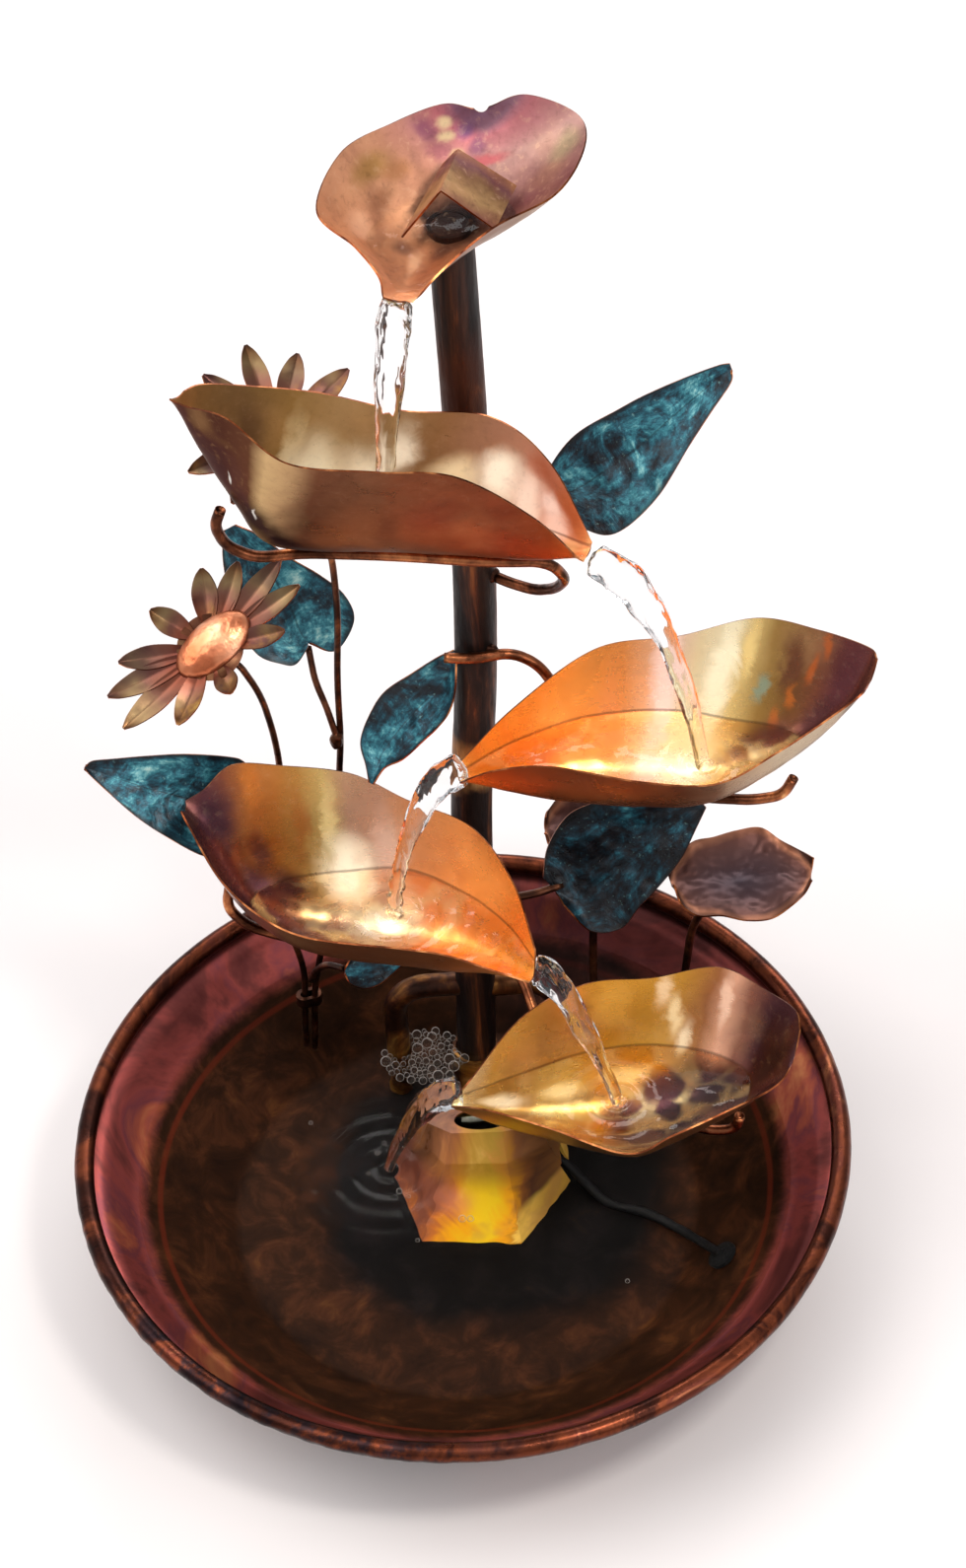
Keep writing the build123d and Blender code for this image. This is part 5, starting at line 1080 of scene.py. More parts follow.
# upper cup outside: the dark purple patches low on the near side are heat colour deepened with painted shade under the
# cup, and the two small near-white patches are painted glints
cup1_out = heat_copper("upper_cup_outside", [(0.0, "#4c2e22"), (0.16, "#40251a"), (0.27, "#4a2c1e"), (0.345, "#5c3a28"), (0.385, "#c8a878"), (0.44, "#b8946a"), (0.475, "#8a5a40"), (0.56, "#a87252"), (0.68, "#a86848"), (0.80, "#a85a3c"), (0.9, "#b85e34"), (1.0, "#e09048")], None, (0.24, 0.38), 0.05, mottle=0.35, fine=0.2,
                      patches=[(0.24, 0.25, 0.06, 0.2, "#3c2018", 0.8, 0), (0.38, 0.26, 0.07, 0.10, "#1c0c14", 0.95, 0), (0.44, 0.32, 0.05, 0.09, "#24101a", 0.95, 0), (0.47, 0.42, 0.06, 0.12, "#241018", 0.9, 0), (0.30, 0.42, 0.1, 0.12, "#20100f", 0.9, 0), (0.285, 0.20, 0.006, 0.03, "#e8e4dc", 0.8, 1.0), (0.372, 0.225, 0.006, 0.03, "#e8e4dc", 0.8, 1.0),
                               (0.58, 0.40, 0.1, 0.08, "#5c3020", 0.7, 0), (0.68, 0.12, 0.06, 0.08, "#a05a44", 0.5, 0), (0.60, 0.2, 0.03, 0.1, "#7d4a38", 0.5, 0)], spec=(0.25, (0.45, 0.36, 0.32)))
# right cup inside: the cream band in the colour ramp and the pale patches with a haze share are painted reflections and
# highlights; the pool colour is a painted caustic glow
cup2_in = heat_copper("right_cup_inside", [(0.0, "#7a4a3c"), (0.10, "#6b3c38"), (0.2, "#6b3834"), (0.26, "#7a442e"), (0.32, "#7d5028"), (0.38, "#a88040"), (0.43, "#f0cc80"), (0.48, "#fff0c4"), (0.53, "#ffe4b0"), (0.58, "#ffd0b8"), (0.62, "#ffb480"), (0.66, "#f09448"), (0.8, "#f08c34"), (0.92, "#ff9a34"), (1.0, "#ffb050")], None, (0.2, 0.34), 0.05, mottle=0.15, fine=0.12,
                      patches=[(0.585, 0.9, 0.03, 0.3, "#ffd8c8", 0.8, 0.6), (0.47, 0.88, 0.035, 0.18, "#fff2cc", 0.85, 0.7), (0.52, 0.72, 0.05, 0.12, "#ffe0a8", 0.7, 0.5), (0.38, 0.84, 0.018, 0.05, "#8a9a80", 0.85, 0.3), (0.345, 0.72, 0.014, 0.06, "#d0702c", 0.8, 0), (0.315, 0.80, 0.014, 0.05, "#d0702c", 0.8, 0), (0.285, 0.88, 0.014, 0.05, "#c8642c", 0.8, 0), (0.26, 0.95, 0.014, 0.05, "#c8642c", 0.7, 0),
                               (0.33, 0.90, 0.025, 0.09, "#6b3a28", 0.8, 0), (0.345, 0.62, 0.06, 0.12, "#6b3434", 0.85, 0), (0.40, 0.56, 0.05, 0.08, "#94603c", 0.7, 0), (0.18, 0.8, 0.07, 0.25, "#5c2c30", 0.85, 0), (0.24, 0.62, 0.07, 0.14, "#502828", 0.85, 0), (0.42, 0.94, 0.02, 0.08, "#ffdc8c", 0.8, 0.4), (0.68, 0.78, 0.04, 0.2, "#e8884c", 0.6, 0.3), (0.76, 0.9, 0.07, 0.14, "#f09038", 0.7, 0.35)], pool=(246.4, 88.0, 26.0, 20.0, "#fff2c8"))
cup2_out = heat_copper("right_cup_outside", [(0.0, "#5c4038"), (0.08, "#4a2c2c"), (0.15, "#c8b8a0"), (0.3, "#d0c0a4"), (0.42, "#a88468"), (0.5, "#7a4c38"), (0.65, "#8d5034"), (0.85, "#a0562c"), (1.0, "#d07c34")], None, (0.22, 0.36), 0.10, patches=[(0.10, 0.2, 0.05, 0.2, "#2c181c", 0.9, 0), (0.22, 0.32, 0.08, 0.12, "#3a2420", 0.8, 0), (0.35, 0.40, 0.1, 0.08, "#4a2c22", 0.8, 0)], spec=(0.3, (0.6, 0.5, 0.45)))
# left cup inside: the cream patches with a haze share are painted highlights and the pool colour is a painted caustic
# glow near where the stream lands
cup3_in = heat_copper("left_cup_inside", [(0.0, "#6b3c38"), (0.12, "#643638"), (0.2, "#7a4430"), (0.28, "#a8642c"), (0.34, "#b06c2c"), (0.40, "#b88440"), (0.45, "#d0b068"), (0.50, "#c89878"), (0.57, "#d09878"), (0.64, "#e08c54"), (0.74, "#ff9c50"), (0.86, "#ff9c44"), (0.94, "#ffa040"), (1.0, "#ffb450")],
                      [(0.0, "#4c2b33"), (0.2, "#55303a"), (0.38, "#64383c"), (0.55, "#a06c44"), (0.75, "#ff9c44"), (1.0, "#ffb450")], (0.2, 0.34), 0.07, mottle=0.2, fine=0.15,
                      patches=[(0.15, 0.75, 0.09, 0.28, "#42242e", 0.9, 0), (0.34, 0.56, 0.10, 0.10, "#5c3028", 0.8, 0), (0.24, 0.5, 0.08, 0.12, "#4a2628", 0.85, 0), (0.50, 0.54, 0.07, 0.06, "#94603c", 0.6, 0), (0.29, 0.93, 0.03, 0.08, "#c8742c", 0.7, 0), (0.24, 0.62, 0.04, 0.12, "#8a4c28", 0.6, 0), (0.40, 0.86, 0.02, 0.1, "#b8682c", 0.6, 0), (0.455, 0.88, 0.02, 0.12, "#e8cc88", 0.8, 0.5), (0.58, 0.86, 0.05, 0.12, "#e0b8a0", 0.7, 0.5), (0.50, 0.74, 0.07, 0.13, "#fff4d4", 0.95, 0.9), (0.585, 0.70, 0.022, 0.09, "#b07858", 0.7, 0.3), (0.63, 0.72, 0.03, 0.09, "#f0b080", 0.6, 0.4), (0.80, 0.88, 0.08, 0.14, "#ffa04c", 0.8, 0.45), (0.30, 0.72, 0.04, 0.08, "#4c2430", 0.7, 0), (0.36, 0.62, 0.05, 0.1, "#5c3430", 0.7, 0), (0.38, 0.66, 0.05, 0.07, "#4c2830", 0.85, 0), (0.44, 0.58, 0.05, 0.06, "#5c3430", 0.75, 0), (0.30, 0.59, 0.06, 0.09, "#4a2630", 0.8, 0)], pool=(168.6, -24.0, 29.0, 20.0, "#fff2c8"))
cup3_out = heat_copper("left_cup_outside", [(0.0, "#5a3830"), (0.3, "#6d4335"), (0.6, "#8f5634"), (0.85, "#a9622f"), (1.0, "#d98a40")], None, (0.24, 0.38), 0.16)
# lower cup inside: the pale gold patches with a haze share are painted highlights and the pool colour is a painted
# caustic glow
cup4_in = heat_copper("lower_cup_inside", [(0.0, "#4c2a2c"), (0.12, "#4c2628"), (0.24, "#5c302e"), (0.32, "#8a5644"), (0.38, "#f0b08c"), (0.43, "#a8683c"), (0.52, "#d09434"), (0.66, "#d0902c"), (0.8, "#b07c38"), (0.92, "#d9aa50"), (1.0, "#fff0c0")], None, (0.2, 0.34), 0.06, mottle=0.25, fine=0.15,
                      patches=[(0.20, 0.80, 0.10, 0.35, "#3c1c22", 0.9, 0), (0.14, 0.55, 0.12, 0.25, "#2c1218", 0.9, 0), (0.36, 0.60, 0.10, 0.13, "#4a2024", 0.92, 0), (0.45, 0.50, 0.09, 0.12, "#5c2c28", 0.85, 0), (0.30, 0.45, 0.1, 0.12, "#341820", 0.9, 0), (0.385, 0.92, 0.02, 0.1, "#ffd0b0", 0.8, 0.5), (0.47, 0.84, 0.025, 0.08, "#a86a3c", 0.6, 0), (0.65, 0.92, 0.05, 0.06, "#f0b048", 0.6, 0.2), (0.72, 0.90, 0.03, 0.06, "#8a5838", 0.6, 0), (0.60, 0.68, 0.06, 0.05, "#ffe08c", 0.8, 0.5), (0.74, 0.62, 0.06, 0.06, "#ffe8a8", 0.8, 0.6), (0.88, 0.55, 0.06, 0.1, "#fff2d0", 0.85, 0.7), (0.68, 0.56, 0.07, 0.06, "#8a5c28", 0.6, 0), (0.53, 0.50, 0.07, 0.08, "#6b3430", 0.85, 0), (0.43, 0.34, 0.11, 0.18, "#3c1c24", 0.9, 0), (0.55, 0.30, 0.08, 0.14, "#54302a", 0.75, 0), (0.36, 0.52, 0.07, 0.12, "#3a1c22", 0.85, 0), (0.59, 0.46, 0.07, 0.12, "#7a4030", 0.75, 0), (0.54, 0.40, 0.09, 0.14, "#5c2c2c", 0.85, 0), (0.50, 0.22, 0.14, 0.16, "#4a2428", 0.8, 0), (0.52, 0.60, 0.06, 0.09, "#5c2826", 0.95, 0), (0.55, 0.47, 0.07, 0.11, "#54262a", 0.95, 0), (0.47, 0.50, 0.07, 0.12, "#4a1f26", 0.95, 0), (0.46, 0.36, 0.12, 0.13, "#4a2826", 0.95, 0), (0.33, 0.52, 0.08, 0.14, "#30161c", 0.95, 0), (0.43, 0.62, 0.09, 0.10, "#46222a", 0.95, 0), (0.42, 0.42, 0.09, 0.14, "#30161e", 0.95, 0), (0.54, 0.95, 0.022, 0.06, "#ffd9a8", 0.8, 0.6), (0.51, 0.88, 0.022, 0.07, "#ffe0a8", 0.85, 0.65), (0.48, 0.80, 0.022, 0.07, "#ffe4b8", 0.85, 0.65)], pool=(99.6, 38.0, -6.0, 20.0, "#ffe080"))
cup4_out = heat_copper("lower_cup_outside", [(0.0, "#6b4030"), (0.4, "#8a5a38"), (0.7, "#9a6c38"), (1.0, "#b98a48")], None, (0.24, 0.38), 0.16)

cups = {}
for name, table, body_node, mi, mo, slot_name, seed in (
    ("upper_cup_sheet", UPPER_CUP, "upper_cup", cup1_in, cup1_out, "upper_cup_copper", 3.0),
    ("right_cup_sheet", RIGHT_CUP, "right_cup", cup2_in, cup2_out, "right_cup_copper", 4.0),
    ("left_cup_sheet", LEFT_CUP, "left_cup", cup3_in, cup3_out, "left_cup_copper", 5.0),
    ("lower_cup_sheet", LOWER_CUP, "lower_cup", cup4_in, cup4_out, "lower_cup_copper", 6.0)):
    s = Sheet(name, table, 2.0, 110, 56, [mi, mo, mat_edge], 0.7, 0.5, 0.05, seed)
    keep(s.ob, "root", [body_node])
    cups[body_node] = s

# ------------------------------------------------------------------ rods
ROD = {
    "upper_cup_rod": [(25.0, 64.0, 299.0), (30.4, 60.0, 298.9), (39.5, 53.0, 300.5), (47.0, 44.0, 309.0), (50.5, 33.0, 324.0), (44.0, 28.5, 337.0), (22.6, 30.6, 336.7), (-9.0, 36.6, 337.2), (-42.0, 37.5, 340.7), (-58.0, 35.5, 341.5), (-67.9, 34.5, 349.2), (-71.0, 34.0, 359.3), (-68.2, 34.0, 366.8)],
    "right_cup_rod": [(5.5, 57.5, 265.5), (17.5, 56.6, 264.6), (30.0, 56.3, 267.2), (40.0, 56.5, 260.0), (50.0, 52.0, 243.0), (62.0, 37.0, 230.3), (76.0, 23.6, 224.2), (98.0, 21.5, 219.5), (116.0, 21.0, 217.0), (127.0, 21.0, 218.5), (131.0, 22.0, 226.5)],
    "left_cup_rod": [(19.0, 64.0, 130.5), (26.0, 56.0, 128.0), (24.0, 40.0, 134.0), (8.0, 26.0, 145.0), (-16.0, 22.0, 147.3), (-40.0, 27.5, 147.6), (-60.0, 29.0, 150.0), (-76.0, 31.0, 156.5), (-83.0, 33.0, 166.0), (-81.0, 35.0, 175.5)],
    "lower_cup_rod": [(16.5, 64.0, 96.0), (28.0, 54.0, 92.0), (34.0, 34.0, 80.0), (44.0, 6.0, 72.5), (62.0, -14.0, 74.8), (84.0, -16.0, 77.6), (98.0, -18.0, 74.5), (106.0, -19.0, 76.0), (107.5, -19.0, 84.0)],
}
for node, pts in ROD.items():
    keep(tube(node + "_bar", fillet(pts), 2.05, mat_rod, 22, wobble=0.06, seed=1.0), "root", [node])
STEM = {
    "leaf_upper_right_stem": (1.65, [(24.5, 70.5, 300.0), (33.0, 75.5, 303.0), (41.0, 77.0, 317.0), (47.0, 73.0, 331.0)]),
    "leaf_left_stem": (1.3, [(-57.5, 80.0, 120.0), (-58.5, 77.0, 150.0), (-62.0, 71.0, 172.0), (-68.0, 65.5, 184.0)]),
    "leaf_lower_right_stem": (1.65, [(17.5, 70.5, 120.0), (28.0, 77.0, 112.0), (38.0, 83.0, 107.5), (47.0, 86.0, 108.0)]),
    "leaf_small_stem": (1.3, [(-56.0, 78.0, 70.0), (-54.5, 73.5, 80.0), (-49.0, 66.0, 93.0), (-41.5, 57.5, 98.5)]),
    "tall_stem": (1.3, [(-57.6, 84.0, 13.6), (-57.0, 83.2, 32.0), (-55.5, 81.5, 62.0), (-49.5, 80.5, 92.0), (-42.0, 79.0, 140.0), (-37.2, 77.5, 188.5), (-35.4, 77.0, 208.2), (-34.8, 76.0, 239.5), (-32.1, 75.0, 275.9), (-32.6, 74.0, 309.0), (-38.5, 74.5, 340.0), (-45.6, 77.0, 357.0)]),
    "leaf_upper_left_stem": (1.3, [(-36.6, 75.2, 209.0), (-39.7, 77.1, 224.9), (-43.2, 80.6, 235.4), (-44.6, 83.7, 250.5)]),
    "daisy_stem": (1.3, [(-61.2, 84.5, 16.0), (-60.6, 83.7, 40.0), (-58.4, 81.5, 74.0), (-63.4, 80.5, 100.0), (-61.5, 78.0, 150.0), (-59.4, 75.0, 197.6), (-60.3, 73.0, 216.2), (-63.3, 70.0, 240.4), (-70.0, 65.3, 262.0), (-78.2, 62.8, 270.6)]),
    "lily_pad_right_stem": (1.65, [(92.0, 78.0, 32.9), (94.5, 79.5, 52.0), (98.0, 80.5, 84.0), (106.0, 81.2, 100.0), (117.0, 81.2, 105.8)]),
    "lily_pad_rear_stem": (1.65, [(58.0, 88.0, 16.9), (58.5, 94.0, 48.0), (60.0, 103.0, 82.0), (61.3, 108.6, 102.0), (61.7, 109.8, 111.8)]),
}
for node, (r, pts) in STEM.items():
    keep(tube(node + "_wire", fillet(pts), r, mat_stem, 18, wobble=0.05, seed=2.0), "root", [node])


def blob(name, centre, radii, mat, seed=0.0, axis=None):
    """A lump of solder."""
    verts, faces = [], []
    nu, nv = 20, 14
    rot = Vector((0, 0, 1)).rotation_difference(Vector(axis).normalized()) if axis else None
    for i in range(nv + 1):
        th = math.pi * i / nv
        for k in range(nu):
            ph = 2 * math.pi * k / nu
            d = Vector((math.sin(th) * math.cos(ph) * radii[0], math.sin(th) * math.sin(ph) * radii[1], math.cos(th) * radii[2]))
            d *= 1 + 0.22 * noise.noise(d * 0.5 + Vector((seed, 0, 0)))
            if rot:
                d = rot @ d
            verts.append(Vector(centre) + d)
    for i in range(nv):
        for k in range(nu):
            k2 = (k + 1) % nu
            faces.append((i * nu + k, (i + 1) * nu + k, (i + 1) * nu + k2, i * nu + k2))
    ob = make_mesh(name, verts, faces, [mat])
    import bmesh
    bm = bmesh.new()
    bm.from_mesh(ob.data)
    bmesh.ops.remove_doubles(bm, verts=bm.verts, dist=1e-7)
    bm.to_mesh(ob.data)
    bm.free()
    return ob


for k, (c, r, ax) in enumerate((((-37.0, 75.6, 208.5), (2.6, 2.4, 4.2), (0.1, -0.1, 1)), ((25.0, 64.0, 299.0), (2.8, 2.8, 3.2), None), ((23.0, 60.5, 265.0), (2.6, 2.2, 2.6), None), ((19.5, 62.6, 130.0), (2.8, 2.6, 3.0), None), ((19.0, 62.0, 95.0), (2.8, 2.6, 3.0), None), ((24.0, 70.5, 300.6), (2.2, 2.2, 2.6), None), ((17.6, 71.5, 119.4), (2.4, 2.4, 2.6), None))):
    keep(blob("solder_joint_%d" % k, c, r, mat_stem, float(k), ax), "root")

# ------------------------------------------------------------------ leaves
leaf_set = (("leaf_upper_right", LEAF_UPPER_RIGHT, 1.5, mat_teal, 11.0), ("leaf_upper_left", LEAF_UPPER_LEFT, 1.5, mat_teal, 12.0), ("leaf_folded", LEAF_FOLDED, 1.3, mat_teal, 13.0), ("leaf_left", LEAF_LEFT, 1.5, mat_teal, 14.0), ("leaf_lower_right", LEAF_LOWER_RIGHT, 1.5, mat_teal_dark, 15.0), ("leaf_small", LEAF_SMALL, 1.5, mat_teal, 16.0))
for node, table, bow, mat, seed in leaf_set:
    s = Sheet(node + "_blade", table, bow, 70, 44, [mat, mat_teal_back, mat_edge], 0.7, 1.6, 0.07, seed)
    keep(s.ob, "root", [node])

# ------------------------------------------------------------------ daisies
petal_in = Nodes("petal_copper_front")
pu = petal_in.attr("uu")
pv = petal_in.attr("vv")
pn1 = petal_in.noise(60.0, 4.0, 0.6, distort=0.6)
pcol1 = petal_in.ramp(petal_in.math("ADD", pu, petal_in.math("MULTIPLY", petal_in.math("SUBTRACT", pn1, 0.5), 0.5)), [(0.0, "#54281c"), (0.2, "#6b3828"), (0.42, "#6f4a3c"), (0.62, "#806848"), (0.82, "#64452a"), (1.0, "#3a2218")])
# gold streaks along the petals: heat colour brightened with painted highlights
pcol1 = petal_in.mix(petal_in.math("MULTIPLY", petal_in.span(petal_in.noise(30.0, 3.0, 0.55), 0.44, 0.56), 0.85), pcol1, petal_in.ramp(pn1, [(0.3, "#331c26"), (0.48, "#4c2c2a"), (0.6, "#80592e"), (0.75, "#c49c50")]))
pcol1 = petal_in.mix(petal_in.math("MULTIPLY", petal_in.span(petal_in.noise(41.0, 2.0, 0.5), 0.55, 0.68), 0.6), pcol1, "#3c2228")
mid = petal_in.math("ABSOLUTE", petal_in.math("SUBTRACT", pv, 0.5))
pcol1 = petal_in.mix(petal_in.math("MULTIPLY", petal_in.span(mid, 0.03, 0.0), 0.4), pcol1, "#5a2f20")
mat_petal = petal_in.surface(pcol1, 0.85, petal_in.span(pn1, 0.3, 0.7, 0.26, 0.42, "LINEAR"), petal_in.bump(petal_in.noise(300.0, 3.0), 0.15, 0.0002))
mat_petal_back = rough_copper("petal_copper_back", [(0.0, "#4a2a20"), (0.5, "#8a5840"), (1.0, "#b98a60")], 50.0, (0.3, 0.45), 1.0, 0.2)
dm = Nodes("dome_copper")
dn = dm.noise(60.0, 3.0, 0.5)
mat_dome = dm.surface(dm.ramp(dm.span(dn, 0.35, 0.65, 0, 1, "LINEAR"), [(0.0, "#b86440"), (0.5, "#e09068"), (1.0, "#ffc09a")]), 0.9, dm.span(dn, 0.3, 0.7, 0.26, 0.4, "LINEAR"), dm.bump(dm.noise(240.0, 2.0), 0.5, 0.0008))


def daisy(tag, centre, normal, tips, node_petals, node_dome, boss=None):
    c, n = Vector(centre), Vector(normal).normalized()
    obs = []
    for i, (tip, half) in enumerate(tips):
        t = Vector(tip) - c
        t = t - n * t.dot(n)
        d = t.normalized()
        side = n.cross(d)
        rows = []
        for f, w, up in ((0.0, 0.42, 0.0), (0.28, 0.85, 0.10), (0.58, 1.0, 0.35), (0.85, 0.62, 0.75), (1.0, 0.10, 1.0)):
            r = 8.25 + (t.length - 8.25) * f
            m = c + d * r + n * (3.0 * up - 0.8 * w)
            e = n * (1.5 * w)
            rows.append((tuple(m - side * half * w + e), tuple(m), tuple(m + side * half * w + e)))
        obs.append(Sheet("%s_petal_%d" % (tag, i), rows, 1.2, 26, 12, [mat_petal, mat_petal_back, mat_edge], 0.6, 0.25, 0.12, 20.0 + i).ob)
    ex = n.orthogonal().normalized()
    ey = n.cross(ex)
    verts = [c + ex * (12.5 * math.cos(k * math.pi / 24)) + ey * (12.5 * math.sin(k * math.pi / 24)) for k in range(48)]
    verts += [v - n * 0.6 for v in verts]
    faces = [tuple(range(48)), tuple(reversed(range(48, 96)))] + [(k, 48 + k, 48 + (k + 1) % 48, (k + 1) % 48) for k in range(48)]
    disc = make_mesh(tag + "_disc", verts, faces, [mat_petal, mat_petal_back, mat_edge], [1] * len(faces), [0.1] * 96, [0.3] * 96)
    head = merge(tag + "_petal_ring", obs + [disc])
    keep(head, "root", [node_petals])
    rings, segs = 22, 64
    ball = (12.0 ** 2 + 5.0 ** 2) / 10.0
    ra, rb, top = 12.0, 12.0, 5.0
    if boss:
        ra, rb, top = boss[0], boss[1], 4.9
        ex = (Vector(boss[2]) - n * n.dot(Vector(boss[2]))).normalized()
        ey = n.cross(ex)
        c = c + ex * 1.5
    verts, faces = [c + n * (0.15 + top)], []
    for i in range(1, rings + 1):
        rr = i / rings
        h = top * math.sqrt(max(1 - rr * rr, 0)) if boss else math.sqrt(max(ball ** 2 - (12.0 * rr) ** 2, 0)) - (ball - 5.0)
        for k in range(segs):
            a = 2 * math.pi * k / segs
            wob = 1 + 0.05 * noise.noise(Vector((math.cos(a) * 1.4, math.sin(a) * 1.4, 3.0))) * (i / rings)
            q = c + (ex * math.cos(a) * ra + ey * math.sin(a) * rb) * rr * min(wob, 1.0) + n * (0.15 + h)
            q += n * (-0.25 * abs(noise.noise(q * 0.35)) if i < rings else 0.0)
            verts.append(q)
    for k in range(segs):
        faces.append((0, 1 + k, 1 + (k + 1) % segs))
    for i in range(rings - 1):
        for k in range(segs):
            k2 = (k + 1) % segs
            faces.append((1 + i * segs + k, 1 + (i + 1) * segs + k, 1 + (i + 1) * segs + k2, 1 + i * segs + k2))
    faces.append(tuple(reversed([1 + (rings - 1) * segs + k for k in range(segs)])))
    keep(make_mesh(tag + "_dome_cap", verts, faces, [mat_dome]), "root", [node_dome])


D1 = [((-112.6, 42.2, 254.9), 4.6), ((-117.7, 52.8, 261.2), 4.6), ((-113.0, 62.6, 268.8), 4.4), ((-100.2, 76.6, 280.8), 4.6), ((-80.4, 86.0, 291.0), 4.8), ((-66.8, 85.7, 293.4), 4.2), ((-51.2, 83.6, 294.9), 4.4), ((-44.9, 74.6, 289.9), 4.2), ((-51.4, 61.8, 279.8), 4.2), ((-72.3, 46.2, 265.2), 4.4), ((-92.5, 40.0, 257.1), 4.4)]
daisy("daisy_front", (-79.5, 62.0, 274.7), (-0.15, -0.55, 0.8), D1, "daisy_petals", "daisy_dome", (16.5, 9.0, (0.80, 0.413, 0.434)))
n2 = Vector((0.1, -0.45, 0.88)).normalized()
ex2 = (Vector((1, 0, 0)) - n2 * n2.x).normalized()
ey2 = n2.cross(ex2)
D2 = []
for k in range(11):
    a = math.radians(k * 360 / 11 + 8)
    reach = 33.0 + 2.5 * math.sin(2.3 * k)
    D2.append((tuple(Vector((-48.0, 79.5, 360.0)) + ex2 * (reach * math.cos(a)) + ey2 * (reach * math.sin(a))), 4.4))
daisy("daisy_rear", (-48.0, 79.5, 360.0), (0.1, -0.45, 0.88), D2, "daisy_rear_petals", "daisy_rear_dome")

# ------------------------------------------------------------------ lily pads
lp_ = Nodes("pad_mauve_copper")
lu, lv = lp_.attr("uu"), lp_.attr("vv")
cu_ = lp_.math("SUBTRACT", lu, 0.5)
cv_ = lp_.math("SUBTRACT", lv, 0.5)
rad = lp_.math("SQRT", lp_.math("ADD", lp_.math("MULTIPLY", cu_, cu_), lp_.math("MULTIPLY", cv_, cv_)))
ln = lp_.noise(40.0, 4.0, 0.6, distort=0.5)
rw = lp_.math("ADD", rad, lp_.math("MULTIPLY", lp_.math("SUBTRACT", ln, 0.5), 0.14))
lcol = lp_.ramp(rw, [(0.0, "#2c2026"), (0.16, "#3c282a"), (0.32, "#4c302c"), (0.42, "#54322a"), (0.5, "#8a5840"), (0.6, "#44261c")])
mat_pad = lp_.surface(lcol, 0.75, lp_.span(ln, 0.3, 0.7, 0.3, 0.46, "LINEAR"), lp_.bump(ln, 0.25, 0.0012))
mat_pad_back = rough_copper("pad_underside_copper", [(0.0, "#2c1711"), (0.5, "#5c3423"), (1.0, "#8d5a3c")], 34.0, (0.32, 0.5), 0.95, 0.25)
for node, table, seed in (("lily_pad_right", LILY_PAD_RIGHT, 31.0), ("lily_pad_rear", LILY_PAD_REAR, 32.0)):
    s = Sheet(node + "_sheet", table, 2.2, 72, 48, [mat_pad, mat_pad_back, mat_edge], 0.7, 1.3, 0.11, seed)
    keep(s.ob, "root", [node])

# ------------------------------------------------------------------ pump, guard and fittings kept from the CAD
gm = Nodes("guard_gold_copper")
gx = gm.new("ShaderNodeSeparateXYZ")
gm.link(gm.obj(), gx.inputs[0])
gn = gm.noise(34.0, 4.0, 0.6, distort=0.8)
gz = gm.math("SUBTRACT", gx.outputs["Z"], 0.001)
gl_ = gm.math("MULTIPLY_ADD", gz, 0.286)
gl_.node.inputs[2].default_value = -0.018
gr_ = gm.math("MULTIPLY_ADD", gz, -0.102)
gr_.node.inputs[2].default_value = 0.021
gt = gm.math("DIVIDE", gm.math("SUBTRACT", gx.outputs["X"], gl_), gm.math("SUBTRACT", gr_, gl_))
gt = gm.math("ADD", gt, gm.math("MULTIPLY", gm.math("SUBTRACT", gn, 0.5), 1.3))
# the bright yellow band across the middle is heat tint pushed brighter as a painted highlight
gcol = gm.ramp(gm.span(gt, -0.6, 1.8, 0.0, 1.0, "LINEAR"), [(0.0, "#5c3420"), (0.12, "#7a4030"), (0.22, "#a05c44"), (0.29, "#d87c38"), (0.36, "#ffb020"), (0.46, "#ffd024"), (0.54, "#ffd428"), (0.63, "#ffb020"), (0.71, "#9a5e30"), (0.78, "#5c3a2c"), (0.86, "#7a5030"), (1.0, "#a06a38")])
topz = gm.span(gx.outputs["Z"], 0.022, 0.036)
gcol = gm.mix(gm.math("MULTIPLY", topz, 0.65), gcol, gm.ramp(gn, [(0.35, "#6b4428"), (0.55, "#a87040"), (0.7, "#e0b070")]))
pk = gm.new("ShaderNodeVectorMath", operation="DISTANCE")
gm.link(gm.obj(), pk.inputs[0])
pk.inputs[1].default_value = (-0.004, -0.012, 0.024)
gcol = gm.mix(gm.math("MULTIPLY", gm.span(gm.math("ADD", pk.outputs["Value"], gm.math("MULTIPLY", gm.math("SUBTRACT", gn, 0.5), 0.014)), 0.013, 0.004), 0.6), gcol, "#e08c6c")
# gold strip along the bottom: heat tint with a painted highlight
strip = gm.math("MULTIPLY", gm.span(gx.outputs["Z"], 0.017, 0.012), gm.span(gt, 0.98, 1.04))
gcol = gm.mix(strip, gcol, gm.ramp(gn, [(0.3, "#c88c34"), (0.6, "#ffd060"), (0.8, "#a8763c")]))
pinkish = gm.span(gm.noise(46.0, 3.0, 0.6), 0.56, 0.7)
gcol = gm.mix(gm.math("MULTIPLY", pinkish, 0.3), gcol, "#c07058")
mat_guard = gm.surface(gcol, 0.12, gm.span(gn, 0.3, 0.7, 0.26, 0.4, "LINEAR"), gm.bump(gm.noise(60.0, 3.0), 0.2, 0.001))
brass_m = rough_copper("brass_fitting", [(0.0, "#5a4018"), (0.5, "#a07c34"), (1.0, "#d1b064")], 80.0, (0.25, 0.4), 1.0, 0.15)
vm = Nodes("hose_vinyl")
mat_vinyl = vm.surface(vm.ramp(vm.noise(120.0, 3.0), [(0.3, "#a8b0a4"), (0.7, "#c6ccc0")]), 0.0, vm.span(vm.noise(300.0, 2.0), 0.3, 0.7, 0.18, 0.3), None)
kp = Nodes("pump_black_plastic")
